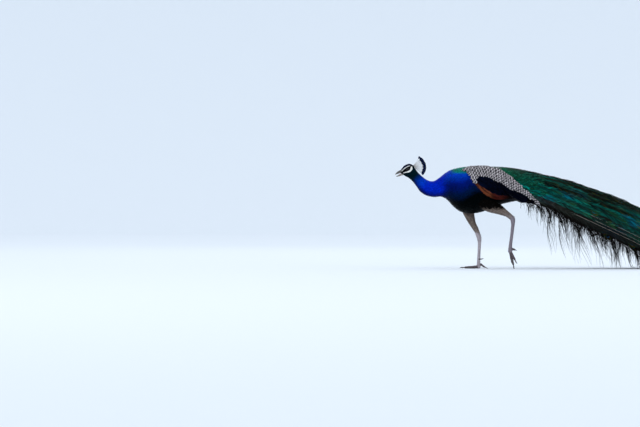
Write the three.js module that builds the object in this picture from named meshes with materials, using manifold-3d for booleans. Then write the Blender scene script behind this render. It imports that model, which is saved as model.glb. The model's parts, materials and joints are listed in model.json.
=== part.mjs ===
// A male Indian peafowl walking, life size. Units are millimetres. The head points along -X, the
// bird's left side faces -Y, Z is up and the sole of the standing right foot is the origin.
import * as THREE from 'three';
import { mergeVertices } from 'three/addons/utils/BufferGeometryUtils.js';
import Module from 'manifold-3d';

const wasm = await Module();
wasm.setup();

// ---- Driving dimensions ----
const GAP = 0.4; // clearance left between pieces that touch
const FLOOR = 0;
const WING_DEPTH = 9; // depth of the folded wing over the flank
const WING_MIDLINE_GAP = 10; // half of the strip of mantle between the two wings
const TRAIN_DEPTH = 15; // depth of the train's overlapping feathers
const TRAIN_LENGTH_END = 1520;
const BODY_FULLNESS = 2.25; // exponent of the body's rounded cross-section
const FEATHER_THICK = 1.4;

const EYE = { x: -336, y: 11.6, z: 470.5, radius: 7.4 };
const CREST = {
  root: [-311, 486], low: -42, high: 51, count: 9, shaft: 50, tip: 17, tipWidth: 12, knob: 6, bow: 2,
};
const FOOT = { ball: 10.5, ballHeight: 8.5, toeStart: 6, splay: 33 };
const TOE_LENGTHS = { middle: 76, inner: 56, outer: 64 };
const CLAW_LENGTH = 14;
const FLANK_OUT = 400; // reach of the cutters that pass through a flank

// Cross-sections of the body from the face to the root of the tail: the point [x, z] on the back
// line, the point on the throat and belly line, and half of the width between the sides.
const BODY_SECTIONS = [
  { back: [-375, 463], belly: [-374, 453], half: 5 },
  { back: [-366, 474.5], belly: [-364, 446], half: 10 },
  { back: [-350, 489.5], belly: [-348, 438], half: 16 },
  { back: [-329, 497], belly: [-334, 431], half: 19 },
  { back: [-309, 488.5], belly: [-321, 421], half: 20.5 },
  { back: [-292, 462], belly: [-309, 408], half: 21.5 },
  { back: [-274, 443], belly: [-295, 389.5], half: 24 },
  { back: [-254, 427], belly: [-277, 362.5], half: 28 },
  { back: [-234, 416], belly: [-249, 345], half: 33 },
  { back: [-212, 415], belly: [-212, 337.5], half: 39 },
  { back: [-187, 431], belly: [-176, 341], half: 48 },
  { back: [-164, 451], belly: [-150, 326], half: 62 },
  { back: [-136, 469], belly: [-123, 295], half: 78 },
  { back: [-98, 480], belly: [-89, 267.5], half: 92 },
  { back: [-48, 486], belly: [-42, 258], half: 100 },
  { back: [4, 490], belly: [8, 264], half: 101 },
  { back: [52, 482], belly: [54, 280], half: 98 },
  { back: [98, 462], belly: [100, 301], half: 86 },
  { back: [145, 438], belly: [146, 313], half: 68 },
  { back: [190, 410], belly: [190, 322], half: 46 },
  { back: [226, 382], belly: [226, 348], half: 24 },
];
const HEAD_CUT = { at: [-299, 447], lean: 15 };
const NECK_CUT = { at: [-243, 384], lean: 11 };
const BREAST_CUT = { at: [-158, 390], lean: -8 };
const RUMP_CUT = { at: [112, 380], lean: 0 };

// Sections of the arched train: its distance along X, the height of its crown and of its side
// edges before the floor cuts them, and half of its width.
const TRAIN_SECTIONS = [
  { x: 34, crown: 483, edge: 476, half: 30 },
  { x: 88, crown: 484, edge: 420, half: 80 },
  { x: 150, crown: 479, edge: 352, half: 99 },
  { x: 220, crown: 468, edge: 308, half: 110 },
  { x: 300, crown: 450, edge: 288, half: 117 },
  { x: 400, crown: 427, edge: 243, half: 125 },
  { x: 540, crown: 383, edge: 177, half: 142 },
  { x: 650, crown: 344, edge: 124, half: 155 },
  { x: 770, crown: 289, edge: 66, half: 169 },
  { x: 910, crown: 222, edge: 1, half: 188 },
  { x: 1060, crown: 148, edge: -6, half: 208 },
  { x: 1200, crown: 82, edge: -4, half: 222 },
  { x: 1310, crown: 40, edge: 3, half: 228 },
  { x: 1430, crown: 20, edge: 6, half: 224 },
  { x: 1570, crown: 9, edge: 6, half: 200 },
];
const SADDLE_END = 205; // the scale-like feathers of the rump end here
const TRAIN_SEAM = { x: 200, y: 52, spread: 3.2 }; // seams between the train's middle and its sides
const TRAIN_END = { centre: 1330, halfWidth: 232, lobes: 11, lobeDepth: 14 };

const TAIL = { x: 176, z: 366, droop: 15, length: 400, fan: 11, feathers: 10, thick: 4 };
const FRINGE = { from: 292, to: 880, teeth: 18, thick: 2.4, clear: 2, root: 24, drop: 150 };

// ---- Surfaces ----
const FINISHES = {
  cobalt: { color: '#0b2bb0', roughness: 0.42, metalness: 0.35 },
  breastBlue: { color: '#062a52', roughness: 0.5, metalness: 0.3 },
  mantle: { color: '#1f7a5a', roughness: 0.45, metalness: 0.4 },
  pied: { color: '#b5a89a', roughness: 0.8, metalness: 0 },
  wingBlue: { color: '#0c2233', roughness: 0.5, metalness: 0.25 },
  chestnut: { color: '#8a3f22', roughness: 0.8, metalness: 0 },
  train: { color: '#0d6b55', roughness: 0.45, metalness: 0.4 },
  fringe: { color: '#12291f', roughness: 0.7, metalness: 0.1 },
  tail: { color: '#5b4f45', roughness: 0.85, metalness: 0 },
  shank: { color: '#b39a86', roughness: 0.85, metalness: 0 },
  leg: { color: '#8d817c', roughness: 0.6, metalness: 0 },
  horn: { color: '#3b3431', roughness: 0.45, metalness: 0 },
  bill: { color: '#a9a49b', roughness: 0.45, metalness: 0 },
  tongue: { color: '#b0696a', roughness: 0.5, metalness: 0 },
  eye: { color: '#20130c', roughness: 0.08, metalness: 0 },
};

// ---- Geometry helpers ----

/** The closed solid that a geometry bounds. */
function solidOf(geometry) {
  const bare = geometry.clone();
  bare.deleteAttribute('normal');
  bare.deleteAttribute('uv');
  const merged = mergeVertices(bare, 1e-4);
  const corners = merged.index.array;
  const triangles = [];
  for (let i = 0; i < corners.length; i += 3) {
    const [a, b, c] = corners.slice(i, i + 3);
    if (a !== b && b !== c && c !== a) triangles.push(a, b, c);
  }
  const vertProperties = new Float32Array(merged.attributes.position.array);
  const mesh = new wasm.Mesh({ numProp: 3, vertProperties, triVerts: new Uint32Array(triangles) });
  return new wasm.Manifold(mesh);
}

/** The drawable geometry of a solid. */
function geometryOf(solid) {
  const { vertProperties, triVerts } = solid.getMesh();
  const geometry = new THREE.BufferGeometry();
  geometry.setAttribute('position', new THREE.BufferAttribute(new Float32Array(vertProperties), 3));
  geometry.setIndex(new THREE.BufferAttribute(new Uint32Array(triVerts), 1));
  geometry.computeVertexNormals();
  return geometry;
}

/** The solid pushed out by a distance along its smoothed normals, as a cutter with clearance. */
function grown(solid, distance = GAP) {
  const geometry = geometryOf(solid);
  const { position, normal } = geometry.attributes;
  for (let i = 0; i < position.count; i += 1) {
    position.setXYZ(
      i,
      position.getX(i) + distance * normal.getX(i),
      position.getY(i) + distance * normal.getY(i),
      position.getZ(i) + distance * normal.getZ(i),
    );
  }
  return solidOf(geometry);
}

/** The solid's biggest separate piece. */
function biggestPiece(solid) {
  return solid.decompose().reduce((best, piece) => (piece.volume() > best.volume() ? piece : best));
}

/** The solid turned over to the bird's other side. */
function mirrored(solid) {
  return solidOf(turnedInsideOut(geometryOf(solid).scale(1, -1, 1)));
}

/** A smooth curve through rows of one to three numbers. */
function curveThrough(rows) {
  const points = rows.map(([a, b = 0, c = 0]) => new THREE.Vector3(a, b, c));
  return new THREE.CatmullRomCurve3(points, false, 'centripetal');
}

/**
 * A closed form with a round cross-section: a lathed column of unit radius, rounded off over the
 * first and last of its sections, whose points are then placed by a function of how far along the
 * column they are and of their place across it.
 */
function form(sections, { sides, capRings = 2 }, place) {
  const spans = sections - 1;
  const cap = 1 / spans;
  const profile = [];
  for (let k = 0; k <= capRings; k += 1) {
    const turn = (k / capRings) * (Math.PI / 2);
    profile.push(new THREE.Vector2(Math.sin(turn), cap * (1 - Math.cos(turn))));
  }
  const rings = spans - 2;
  for (let k = 1; k < rings; k += 1) {
    profile.push(new THREE.Vector2(1, cap + (k / rings) * (1 - 2 * cap)));
  }
  for (let k = capRings; k >= 0; k -= 1) {
    const turn = (k / capRings) * (Math.PI / 2);
    profile.push(new THREE.Vector2(Math.sin(turn), 1 - cap * (1 - Math.cos(turn))));
  }
  const geometry = new THREE.LatheGeometry(profile, sides);
  const { position } = geometry.attributes;
  const point = new THREE.Vector3();
  for (let i = 0; i < position.count; i += 1) {
    place(THREE.MathUtils.clamp(position.getY(i), 0, 1), position.getX(i), position.getZ(i), point);
    position.setXYZ(i, point.x, point.y, point.z);
  }
  const solid = solidOf(geometry);
  return solid.volume() < 0 ? solidOf(turnedInsideOut(geometry)) : solid;
}

/** The geometry with its faces turned over. */
function turnedInsideOut(geometry) {
  const corners = geometry.index.array;
  for (let i = 0; i < corners.length; i += 3) {
    [corners[i], corners[i + 1]] = [corners[i + 1], corners[i]];
  }
  return geometry;
}

/** A body between an upper and a lower outline, drawn in the plane of symmetry or beside it. */
function body(sections, { sides = 18, fullness = BODY_FULLNESS } = {}) {
  const back = curveThrough(sections.map((section) => section.back));
  const belly = curveThrough(sections.map((section) => section.belly));
  const breadth = curveThrough(sections.map((section) => [section.half, section.y ?? 0]));
  const full = (value) => Math.sign(value) * Math.abs(value) ** (2 / fullness);
  return form(sections.length, { sides }, (along, across, up, point) => {
    const top = back.getPoint(along);
    const low = belly.getPoint(along);
    const wide = breadth.getPoint(along);
    const radius = Math.hypot(across, up);
    const side = radius ? full(across / radius) * radius : 0;
    const rise = radius ? full(up / radius) * radius : 0;
    point.x = (top.x + low.x) / 2 + (rise * (top.x - low.x)) / 2;
    point.y = wide.y + side * wide.x;
    point.z = (top.y + low.y) / 2 + (rise * (top.y - low.y)) / 2;
  });
}

/** A round limb along a path of [x, y, z, radius] rows that isn't parallel to its hint. */
function limb(path, { sides = 6, hint = [0, 0, 1], capRings = 2 } = {}) {
  const centre = curveThrough(path);
  const radius = curveThrough(path.map((row) => [row[3]]));
  const up = new THREE.Vector3(...hint);
  return form(path.length, { sides, capRings }, (along, across, rise, point) => {
    const tangent = centre.getTangent(along);
    const side = new THREE.Vector3().crossVectors(up, tangent).normalize();
    const lift = new THREE.Vector3().crossVectors(tangent, side);
    const size = radius.getPoint(along).x;
    point.copy(centre.getPoint(along));
    point.addScaledVector(side, across * size);
    point.addScaledVector(lift, rise * size);
  });
}

/** A plate cut from an outline [u, v], of a thickness, centred on the plane of the outline. */
function plate(outline, thick) {
  const shape = new THREE.Shape(outline.map(([u, v]) => new THREE.Vector2(u, v)));
  const geometry = new THREE.ExtrudeGeometry(shape, { depth: thick, bevelEnabled: false, steps: 1 });
  geometry.translate(0, 0, -thick / 2);
  return geometry;
}

/** A flank plate, its outline drawn in X and Z, from one distance out to another on the left. */
function flankPrism(outline, near, far) {
  const geometry = plate(outline, far - near);
  geometry.rotateX(Math.PI / 2);
  geometry.translate(0, -(far + near) / 2, 0);
  return solidOf(geometry);
}

/** Both sides of a cut across the body, parted by the clearance: the part before and behind it. */
function parted(solid, cut) {
  const lean = THREE.MathUtils.degToRad(cut.lean);
  const normal = [Math.cos(lean), 0, -Math.sin(lean)];
  const offset = normal[0] * cut.at[0] + normal[2] * cut.at[1];
  const behind = solid.trimByPlane(normal, offset + GAP / 2);
  const before = solid.trimByPlane(normal.map((value) => -value), GAP / 2 - offset);
  return [biggestPiece(before), biggestPiece(behind)];
}

const bird = new THREE.Group();

/** Adds a named piece with its finish to a group. */
function add(name, solid, finish, group = bird) {
  const mesh = new THREE.Mesh(geometryOf(solid), new THREE.MeshStandardMaterial(FINISHES[finish]));
  mesh.name = name;
  group.add(mesh);
}

// ---- Train, tail and fringe ----

/** The train as an arch of feathers, or as the solid form that it covers with its feathers. */
function trainForm(filled = false) {
  const spine = curveThrough(TRAIN_SECTIONS.map(({ x, crown, edge }) => [x, crown, edge]));
  const breadth = curveThrough(TRAIN_SECTIONS.map(({ half }) => [half]));
  return form(TRAIN_SECTIONS.length, { sides: 20 }, (along, across, up, point) => {
    const { x, y: crown, z: edge } = spine.getPoint(along);
    const half = breadth.getPoint(along).x;
    const radius = Math.hypot(across, up);
    const turn = Math.atan2(across, Math.abs(up)) * radius;
    const depth = TRAIN_DEPTH * Math.sign(up) * Math.min(radius, 3 * Math.abs(up));
    const tall = crown - TRAIN_DEPTH / 2 - edge;
    const normal = new THREE.Vector2(tall * Math.sin(turn), half * Math.cos(turn)).normalize();
    const base = filled && up < 0;
    point.x = x;
    point.y = half * Math.sin(turn) + (base ? 0 : (normal.x * depth) / 2);
    point.z = edge + (base ? 0 : tall * Math.cos(turn) + (normal.y * depth) / 2);
  });
}

/** The train's outline from above, with a rounded and lobed end. */
function trainOutline() {
  const { centre, halfWidth, lobes, lobeDepth } = TRAIN_END;
  const length = TRAIN_LENGTH_END - centre;
  const outline = [[-100, halfWidth], [-100, -halfWidth]];
  const steps = lobes * 3;
  for (let k = 0; k <= steps; k += 1) {
    const turn = (k / steps - 0.5) * Math.PI;
    const notch = lobeDepth * (1 - Math.abs(Math.sin((k / 3) * Math.PI))) * Math.cos(turn);
    outline.push([
      centre + (length - notch) * Math.cos(turn),
      (halfWidth - notch) * Math.sin(turn),
    ]);
  }
  const geometry = plate(outline, 1200);
  return solidOf(geometry);
}

/** The train parted into its saddle, middle and two sides. */
function addTrain(shell) {
  const [saddle, rest] = parted(shell, { at: [SADDLE_END, 0], lean: 0 });
  add('train_saddle', saddle, 'mantle');
  const spread = THREE.MathUtils.degToRad(TRAIN_SEAM.spread);
  const across = [Math.sin(spread), Math.cos(spread)];
  const offset = TRAIN_SEAM.y * across[1] - TRAIN_SEAM.x * across[0];
  const right = rest.trimByPlane([-across[0], across[1], 0], offset + GAP / 2);
  const left = rest.trimByPlane([-across[0], -across[1], 0], offset + GAP / 2);
  const middle = rest
    .trimByPlane([across[0], -across[1], 0], GAP / 2 - offset)
    .trimByPlane([across[0], across[1], 0], GAP / 2 - offset);
  add('train_middle', biggestPiece(middle), 'train');
  add('train_left', biggestPiece(left), 'train');
  add('train_right', biggestPiece(right), 'train');
}

/** The short stiff tail that carries the train, fanned a little and lobed at its end. */
function tailFan() {
  const { length, fan, feathers, thick, droop } = TAIL;
  const half = THREE.MathUtils.degToRad(fan);
  const outline = [[0, -16], [0, 16]];
  const steps = feathers * 3;
  for (let k = steps; k >= 0; k -= 1) {
    const turn = (2 * k / steps - 1) * half;
    const reach = length - 14 * (1 - Math.abs(Math.sin((k / 3) * Math.PI)));
    outline.push([reach * Math.cos(turn), reach * Math.sin(turn)]);
  }
  const geometry = plate(outline, thick);
  geometry.rotateY(THREE.MathUtils.degToRad(droop));
  geometry.translate(TAIL.x, 0, TAIL.z);
  return solidOf(geometry);
}

/** The loose barbs that hang below the train's left edge, joined along their roots. */
function fringeCurtain() {
  const spine = curveThrough(TRAIN_SECTIONS.map(({ x, half, edge }) => [x, half, edge]));
  const lows = spine.getPoints(200);
  const edgeAt = (x) => lows.reduce((a, b) => (Math.abs(b.x - x) < Math.abs(a.x - x) ? b : a));
  const pitch = (FRINGE.to - FRINGE.from) / FRINGE.teeth;
  const low = (x, drop) => Math.max(edgeAt(x).z - drop, FLOOR + 2);
  const outline = [];
  for (let k = 0; k <= FRINGE.teeth; k += 1) {
    const x = FRINGE.from + k * pitch;
    outline.push([x, low(x, FRINGE.root)]);
    if (k < FRINGE.teeth) {
      const drop = FRINGE.drop * (0.72 + 0.28 * Math.cos(k * 2.1));
      outline.push([x + pitch * 0.62, low(x + pitch * 0.5, drop)]);
    }
  }
  for (let k = FRINGE.teeth; k >= 0; k -= 1) {
    const x = FRINGE.from + k * pitch;
    outline.push([x, edgeAt(x).z - FRINGE.clear]);
  }
  const geometry = plate(outline, FRINGE.thick);
  geometry.rotateX(Math.PI / 2);
  const { position } = geometry.attributes;
  for (let i = 0; i < position.count; i += 1) {
    position.setY(i, position.getY(i) - edgeAt(position.getX(i)).y);
  }
  return solidOf(geometry);
}

// ---- Wings ----

/** Outlines of a folded wing's three fields, drawn in X and Z. */
const WING_FIELDS = {
  scapulars: {
    finish: 'pied',
    outline: [
      [-76, 470], [-40, 486], [40, 488], [78, 474], [110, 460], [162, 428], [228, 377], [276, 325],
      [282, 305], [270, 306], [228, 340], [180, 368], [137, 380], [90, 412], [50, 428], [-12, 441],
      [-52, 452],
    ],
  },
  coverts: {
    finish: 'wingBlue',
    outline: [
      [-76, 470], [-52, 452], [-12, 441], [50, 428], [90, 412], [137, 380], [180, 368], [228, 340],
      [270, 306], [226, 306], [184, 317], [150, 326], [126, 335], [72, 343], [35, 365], [-5, 394],
      [-30, 424], [-60, 446],
    ],
  },
  primaries: {
    finish: 'chestnut',
    outline: [
      [-30, 424], [-5, 394], [35, 365], [72, 343], [126, 335], [150, 326], [144, 321], [112, 318],
      [72, 326], [30, 345], [-23, 399], [-34, 414],
    ],
  },
};

/** Adds both wings: fields of a layer that lies over the forms that the wings cover. */
function addWings(covered) {
  const wrapped = (distance) => covered.map((part) => grown(part, distance)).reduce((a, b) => a.add(b));
  const layer = wrapped(WING_DEPTH).subtract(wrapped(GAP));
  for (const [field, { finish, outline }] of Object.entries(WING_FIELDS)) {
    const prism = grown(flankPrism(outline, WING_MIDLINE_GAP, FLANK_OUT), -GAP / 2);
    add(`wing_left_${field}`, biggestPiece(layer.intersect(prism)), finish);
    add(`wing_right_${field}`, biggestPiece(layer.intersect(mirrored(prism))), finish);
  }
}

// ---- Head ----

/** The upper half of the bill, curved down to its tip. */
function upperBill() {
  return body([
    { back: [-357, 468], belly: [-357, 459], half: 6 },
    { back: [-364, 470.5], belly: [-362, 455], half: 8.6 },
    { back: [-373, 467], belly: [-371, 452.5], half: 7.4 },
    { back: [-382, 462], belly: [-380.5, 450], half: 5.6 },
    { back: [-390, 455.5], belly: [-388.5, 447.5], half: 3.4 },
    { back: [-395.5, 448.5], belly: [-394, 445.5], half: 1.2 },
  ], { sides: 12 });
}

/** The lower half of the bill. */
function lowerBill() {
  return body([
    { back: [-352, 450], belly: [-352, 444.5], half: 6 },
    { back: [-361, 450], belly: [-361, 442], half: 7.8 },
    { back: [-371, 447], belly: [-371, 439.5], half: 6.4 },
    { back: [-381, 443], belly: [-381, 436.5], half: 4.4 },
    { back: [-390, 438.5], belly: [-390, 435.5], half: 1.6 },
  ], { sides: 10 });
}

/** The tongue, lying in the lower half of the bill. */
function tongueSolid() {
  return body([
    { back: [-358, 451.5], belly: [-358, 448], half: 3 },
    { back: [-364, 451.5], belly: [-364, 447.5], half: 4 },
    { back: [-372, 449], belly: [-372, 445.5], half: 3.4 },
    { back: [-383, 444.6], belly: [-383, 443], half: 1 },
  ], { sides: 8 });
}

/** One crest feather: a bare shaft with a spatulate tip, lying along +X. */
function crestFeather(length) {
  const { tip, tipWidth } = CREST;
  const half = tipWidth / 2;
  const outline = [
    [0, -0.8], [length - tip * 0.5, -0.6], [length + tip * 0.1, -half], [length + tip * 0.5, 0],
    [length + tip * 0.1, half], [length - tip * 0.5, 0.6], [0, 0.8],
  ];
  return plate(outline, FEATHER_THICK);
}

/** The fan of crest feathers, joined at the crown. */
function crestFan() {
  const knob = new THREE.SphereGeometry(CREST.knob, 8, 6);
  knob.translate(CREST.root[0], 0, CREST.root[1]);
  let fan = solidOf(knob);
  for (let k = 0; k < CREST.count; k += 1) {
    const share = k / (CREST.count - 1);
    const turn = THREE.MathUtils.lerp(CREST.low, CREST.high, share);
    const feather = crestFeather(CREST.shaft + CREST.bow * Math.sin(Math.PI * share));
    feather.rotateX(Math.PI / 2);
    feather.rotateY(-THREE.MathUtils.degToRad(turn));
    feather.translate(CREST.root[0], 0.5 * ((k % 3) - 1), CREST.root[1]);
    fan = fan.add(solidOf(feather));
  }
  return biggestPiece(fan);
}

/** A round eye on one side, -1 for the left. */
function eyeBall(side) {
  const ball = new THREE.SphereGeometry(EYE.radius, 10, 7);
  ball.translate(EYE.x, side * EYE.y, EYE.z);
  return solidOf(ball);
}

// ---- Legs ----

/** Each leg: its feathered shank, its bare tarsus and how far its toes hang from flat. */
const LEGS = {
  right: {
    shank: [
      { back: [10, 330], belly: [-60, 330], half: 20, y: 46 },
      { back: [2, 300], belly: [-78, 300], half: 34, y: 44 },
      { back: [-18, 264], belly: [-74, 262], half: 27, y: 38 },
      { back: [-12, 221], belly: [-50, 219], half: 19, y: 28 },
      { back: [2, 188], belly: [-28, 186], half: 14, y: 20 },
      { back: [10, 164], belly: [-12, 162], half: 10, y: 15 },
      { back: [10, 152], belly: [-4, 152], half: 6, y: 13 },
    ],
    tarsus: [
      [-14, 17, 186, 4], [-8, 15, 172, 9], [-1, 13, 158, 11.4], [3.5, 12, 146, 11.4],
      [5, 11, 133, 9.6], [5, 9, 118, 7.8], [3, 6, 78, 7.2],
      [1, 3, 40, 7.8], [0, 0, 16, 8.8], [0, 0, 4, 7],
    ],
    joint: [0, 0, FOOT.ballHeight],
    pitch: { middle: 0, inner: 0, outer: 0 },
    hallux: [[7, -3, 26, 4], [12, -5, 20, 5], [20, -9, 12, 4.6], [29, -13, 6.5, 4.2], [35, -15, 5, 3]],
    spur: { root: [6, -5, 44], tip: [24, -17, 48] },
  },
  left: {
    shank: [
      { back: [10, 372], belly: [-40, 320], half: 22, y: -52 },
      { back: [40, 350], belly: [-8, 292], half: 34, y: -58 },
      { back: [80, 321], belly: [40, 267], half: 36, y: -60 },
      { back: [110, 298], belly: [90, 256], half: 27, y: -57 },
      { back: [137, 273], belly: [128, 245], half: 17, y: -53 },
      { back: [156, 257], belly: [144, 233], half: 12, y: -51 },
      { back: [162, 246], belly: [154, 235], half: 7, y: -50 },
    ],
    tarsus: [
      [132, -53, 257, 4], [144, -52, 249.5, 9], [154, -51, 243, 11.6], [159.5, -50, 233, 12],
      [160.5, -49.5, 221, 10.2], [160, -49, 206, 8.4],
      [155, -48, 160, 7.5], [149.5, -48, 118, 7.8], [147, -48, 90, 9.6], [147, -48, 78, 7.6],
    ],
    joint: [147, -48, 82],
    pitch: { middle: -100, inner: -95, outer: -113 },
    hallux: [
      [154, -46, 97, 4.4], [159, -45, 93, 5.4], [165, -43, 90.5, 5.2], [170, -41, 89.5, 4.6],
      [174, -40, 89, 3.4],
    ],
    spur: { root: [151, -41, 124], tip: [155, -23, 129] },
  },
};

/** A front toe along -X from the foot's joint, with swollen pads, turned outward by an angle. */
function toe(length, turn) {
  const bend = THREE.MathUtils.degToRad(turn);
  const base = FOOT.ballHeight;
  const rows = [
    [FOOT.toeStart, 6.9, 0], [FOOT.toeStart + 5, 7, -1], [length * 0.45, 6, -2.4],
    [length * 0.8, 5.2, -3.4], [length, 3.5, -4.8],
  ];
  return limb(rows.map(([reach, radius, rise]) => [
    -reach * Math.cos(bend),
    reach * Math.sin(bend),
    base + rise - FOOT.ballHeight,
    radius,
  ]), { capRings: 1 });
}

/** A claw that starts inside the tip of a toe and curves down to the sole's level. */
function toeClaw(length, turn, size) {
  const bend = THREE.MathUtils.degToRad(turn);
  const rows = [
    [-7, 2.6, -4.4], [-3, 3, -4.2], [size * 0.35, 2.7, -3.6], [size * 0.75, 1.8, -5],
    [size, 0.7, -7.2],
  ];
  return limb(rows.map(([beyond, radius, rise]) => [
    -(length + beyond) * Math.cos(bend),
    (length + beyond) * Math.sin(bend),
    rise,
    radius,
  ]));
}

/** A toe's solid pitched down about its foot's joint, put in place and cut at the floor. */
function hung(solid, leg, pitch) {
  const geometry = geometryOf(solid);
  geometry.rotateY(THREE.MathUtils.degToRad(pitch));
  geometry.translate(...leg.joint);
  return solidOf(geometry).trimByPlane([0, 0, 1], FLOOR);
}

/** The claw of a hind toe or a spur: a cone with a slight curve from one point to another. */
function spike(root, tip, radius) {
  const at = (share, sag) => [0, 1, 2].map((axis) => (
    root[axis] + (tip[axis] - root[axis]) * share - (axis === 2 ? sag : 0)
  ));
  return limb([
    [...at(-0.25, 0), radius * 0.8], [...at(-0.05, 0), radius], [...at(0.5, 0.9), radius * 0.72],
    [...at(0.85, 0.6), radius * 0.4], [...at(1, 0), 0.6],
  ]);
}

/** Adds one leg, its shank cut off where it enters the body. */
function addLeg(side, trunk) {
  const leg = LEGS[side];
  const mirror = side === 'left' ? 1 : -1;
  const ball = new THREE.SphereGeometry(FOOT.ball, 10, 6);
  ball.translate(...leg.joint);
  const tarsus = limb(leg.tarsus, { sides: 10, hint: [1, 0, 0] })
    .add(solidOf(ball))
    .trimByPlane([0, 0, 1], FLOOR);
  add(`tarsus_${side}`, tarsus, 'leg');
  const shank = body(leg.shank, { sides: 12, fullness: 2 }).subtract(grown(trunk));
  add(`shank_${side}`, biggestPiece(shank.subtract(grown(tarsus))), 'shank');

  let taken = grown(tarsus);
  const addPart = (name, solid, finish) => {
    add(name, biggestPiece(solid.subtract(taken)), finish);
    taken = taken.add(grown(solid));
  };
  const turns = { middle: 0, inner: -mirror * FOOT.splay, outer: mirror * FOOT.splay };
  for (const [name, turn] of Object.entries(turns)) {
    const length = TOE_LENGTHS[name];
    const pitch = leg.pitch[name];
    addPart(`claw_${side}_${name}`, hung(toeClaw(length, -turn, CLAW_LENGTH), leg, pitch), 'horn');
    addPart(`toe_${side}_${name}`, hung(toe(length, -turn), leg, pitch), 'leg');
  }
  const tip = leg.hallux.at(-1);
  const before = leg.hallux.at(-2);
  const reach = [0, 1].map((axis) => tip[axis] + (tip[axis] - before[axis]) * 1.5);
  const clawRoot = [tip[0] - 2, tip[1], tip[2]];
  const clawTip = [...reach, Math.max(tip[2] - 4, 1)];
  addPart(`claw_${side}_hind`, spike(clawRoot, clawTip, 2.4).trimByPlane([0, 0, 1], FLOOR), 'horn');
  const hallux = limb(leg.hallux, { capRings: 1 }).trimByPlane([0, 0, 1], FLOOR);
  addPart(`toe_${side}_hind`, hallux, 'leg');
  addPart(`spur_${side}`, spike(leg.spur.root, leg.spur.tip, 3.6), 'horn');
}

// ---- Assembly ----

const carcass = body(BODY_SECTIONS);
const train = trainForm().intersect(trainOutline()).trimByPlane([0, 0, 1], FLOOR);
const shell = biggestPiece(train.subtract(grown(carcass)));

const [beforeRump, rump] = parted(carcass, RUMP_CUT);
const [beforeTrunk, trunk] = parted(beforeRump, BREAST_CUT);
const [beforeLowerNeck, lowerNeck] = parted(beforeTrunk, NECK_CUT);
const [headBlock, upperNeck] = parted(beforeLowerNeck, HEAD_CUT);

const upper = upperBill();
const lower = lowerBill().subtract(grown(upper));
const tongue = tongueSolid().subtract(grown(upper)).subtract(grown(lower));
const crest = crestFan().subtract(grown(carcass));
let head = headBlock.subtract(grown(upper)).subtract(grown(lowerBill())).subtract(grown(tongueSolid()));
for (const [side, sign] of [['left', -1], ['right', 1]]) {
  const ball = eyeBall(sign);
  add(`eye_${side}`, ball, 'eye');
  head = head.subtract(grown(ball));
}
add('head', biggestPiece(head), 'cobalt');
add('bill_upper', upper, 'bill');
add('bill_lower', biggestPiece(lower), 'bill');
add('tongue', biggestPiece(tongue), 'tongue');
add('crest', biggestPiece(crest), 'cobalt');
add('neck_upper', upperNeck, 'cobalt');
add('neck_lower', lowerNeck, 'cobalt');
add('trunk', trunk, 'breastBlue');
add('rump', rump, 'fringe');

addWings([carcass, trainForm(true)]);
addLeg('right', carcass);
addLeg('left', carcass);
addTrain(shell);
add('tail', biggestPiece(tailFan().subtract(grown(rump)).subtract(grown(shell))), 'tail');
add('fringe_left', fringeCurtain(), 'fringe');
add('fringe_right', mirrored(fringeCurtain()), 'fringe');

export default bird;
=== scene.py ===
"""A life-size male Indian peafowl, walking, with its skin, plumage, bill, eyes and scaled legs.

Every length is in metres in the frame of the solids: the head points along -X, the bird's left
side along -Y, and the sole of the planted right foot is the origin.
"""

import json
import logging
import math
from collections.abc import Callable, Sequence
from dataclasses import dataclass, field
from enum import Enum

import bmesh
import bpy
import numpy as np
from mathutils import Matrix, Vector
from mathutils.bvhtree import BVHTree

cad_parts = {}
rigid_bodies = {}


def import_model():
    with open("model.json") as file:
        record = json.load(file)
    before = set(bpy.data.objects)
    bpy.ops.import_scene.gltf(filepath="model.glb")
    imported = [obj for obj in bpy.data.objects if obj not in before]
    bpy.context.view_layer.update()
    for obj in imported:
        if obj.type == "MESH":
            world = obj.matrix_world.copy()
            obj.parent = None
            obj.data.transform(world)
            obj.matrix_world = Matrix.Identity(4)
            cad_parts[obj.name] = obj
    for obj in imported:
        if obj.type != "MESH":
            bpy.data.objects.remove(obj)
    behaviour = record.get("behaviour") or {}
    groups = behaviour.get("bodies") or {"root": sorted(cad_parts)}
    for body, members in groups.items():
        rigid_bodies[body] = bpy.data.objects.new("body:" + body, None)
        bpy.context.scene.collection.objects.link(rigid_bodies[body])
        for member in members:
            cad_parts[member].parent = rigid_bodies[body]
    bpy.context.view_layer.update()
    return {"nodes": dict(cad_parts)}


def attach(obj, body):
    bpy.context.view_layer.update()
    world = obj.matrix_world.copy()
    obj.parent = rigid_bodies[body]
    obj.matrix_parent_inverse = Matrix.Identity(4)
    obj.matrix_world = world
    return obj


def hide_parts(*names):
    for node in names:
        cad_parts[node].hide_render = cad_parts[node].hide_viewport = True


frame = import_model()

MM = 0.001
LOG = logging.getLogger("peafowl")
Array = np.ndarray
Random = np.random.Generator


# ---- Numbers and colours ----


def linear(code: str) -> tuple[float, float, float]:
    """Turns an sRGB hex colour into linear light.

    Args:
        code: Six hex digits after a hash.

    Returns:
        Red, green and blue in linear light.
    """
    parts = [int(code[k : k + 2], 16) / 255 for k in (1, 3, 5)]
    return tuple(p / 12.92 if p <= 0.04045 else ((p + 0.055) / 1.055) ** 2.4 for p in parts)


def tone(code: str) -> Array:
    """Gives an sRGB hex colour as an array in linear light."""
    return np.array(linear(code))


def unit(vectors: Array) -> Array:
    """Scales the vectors along the last axis to a length of one."""
    return vectors / np.maximum(np.linalg.norm(vectors, axis=-1, keepdims=True), 1e-9)


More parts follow.
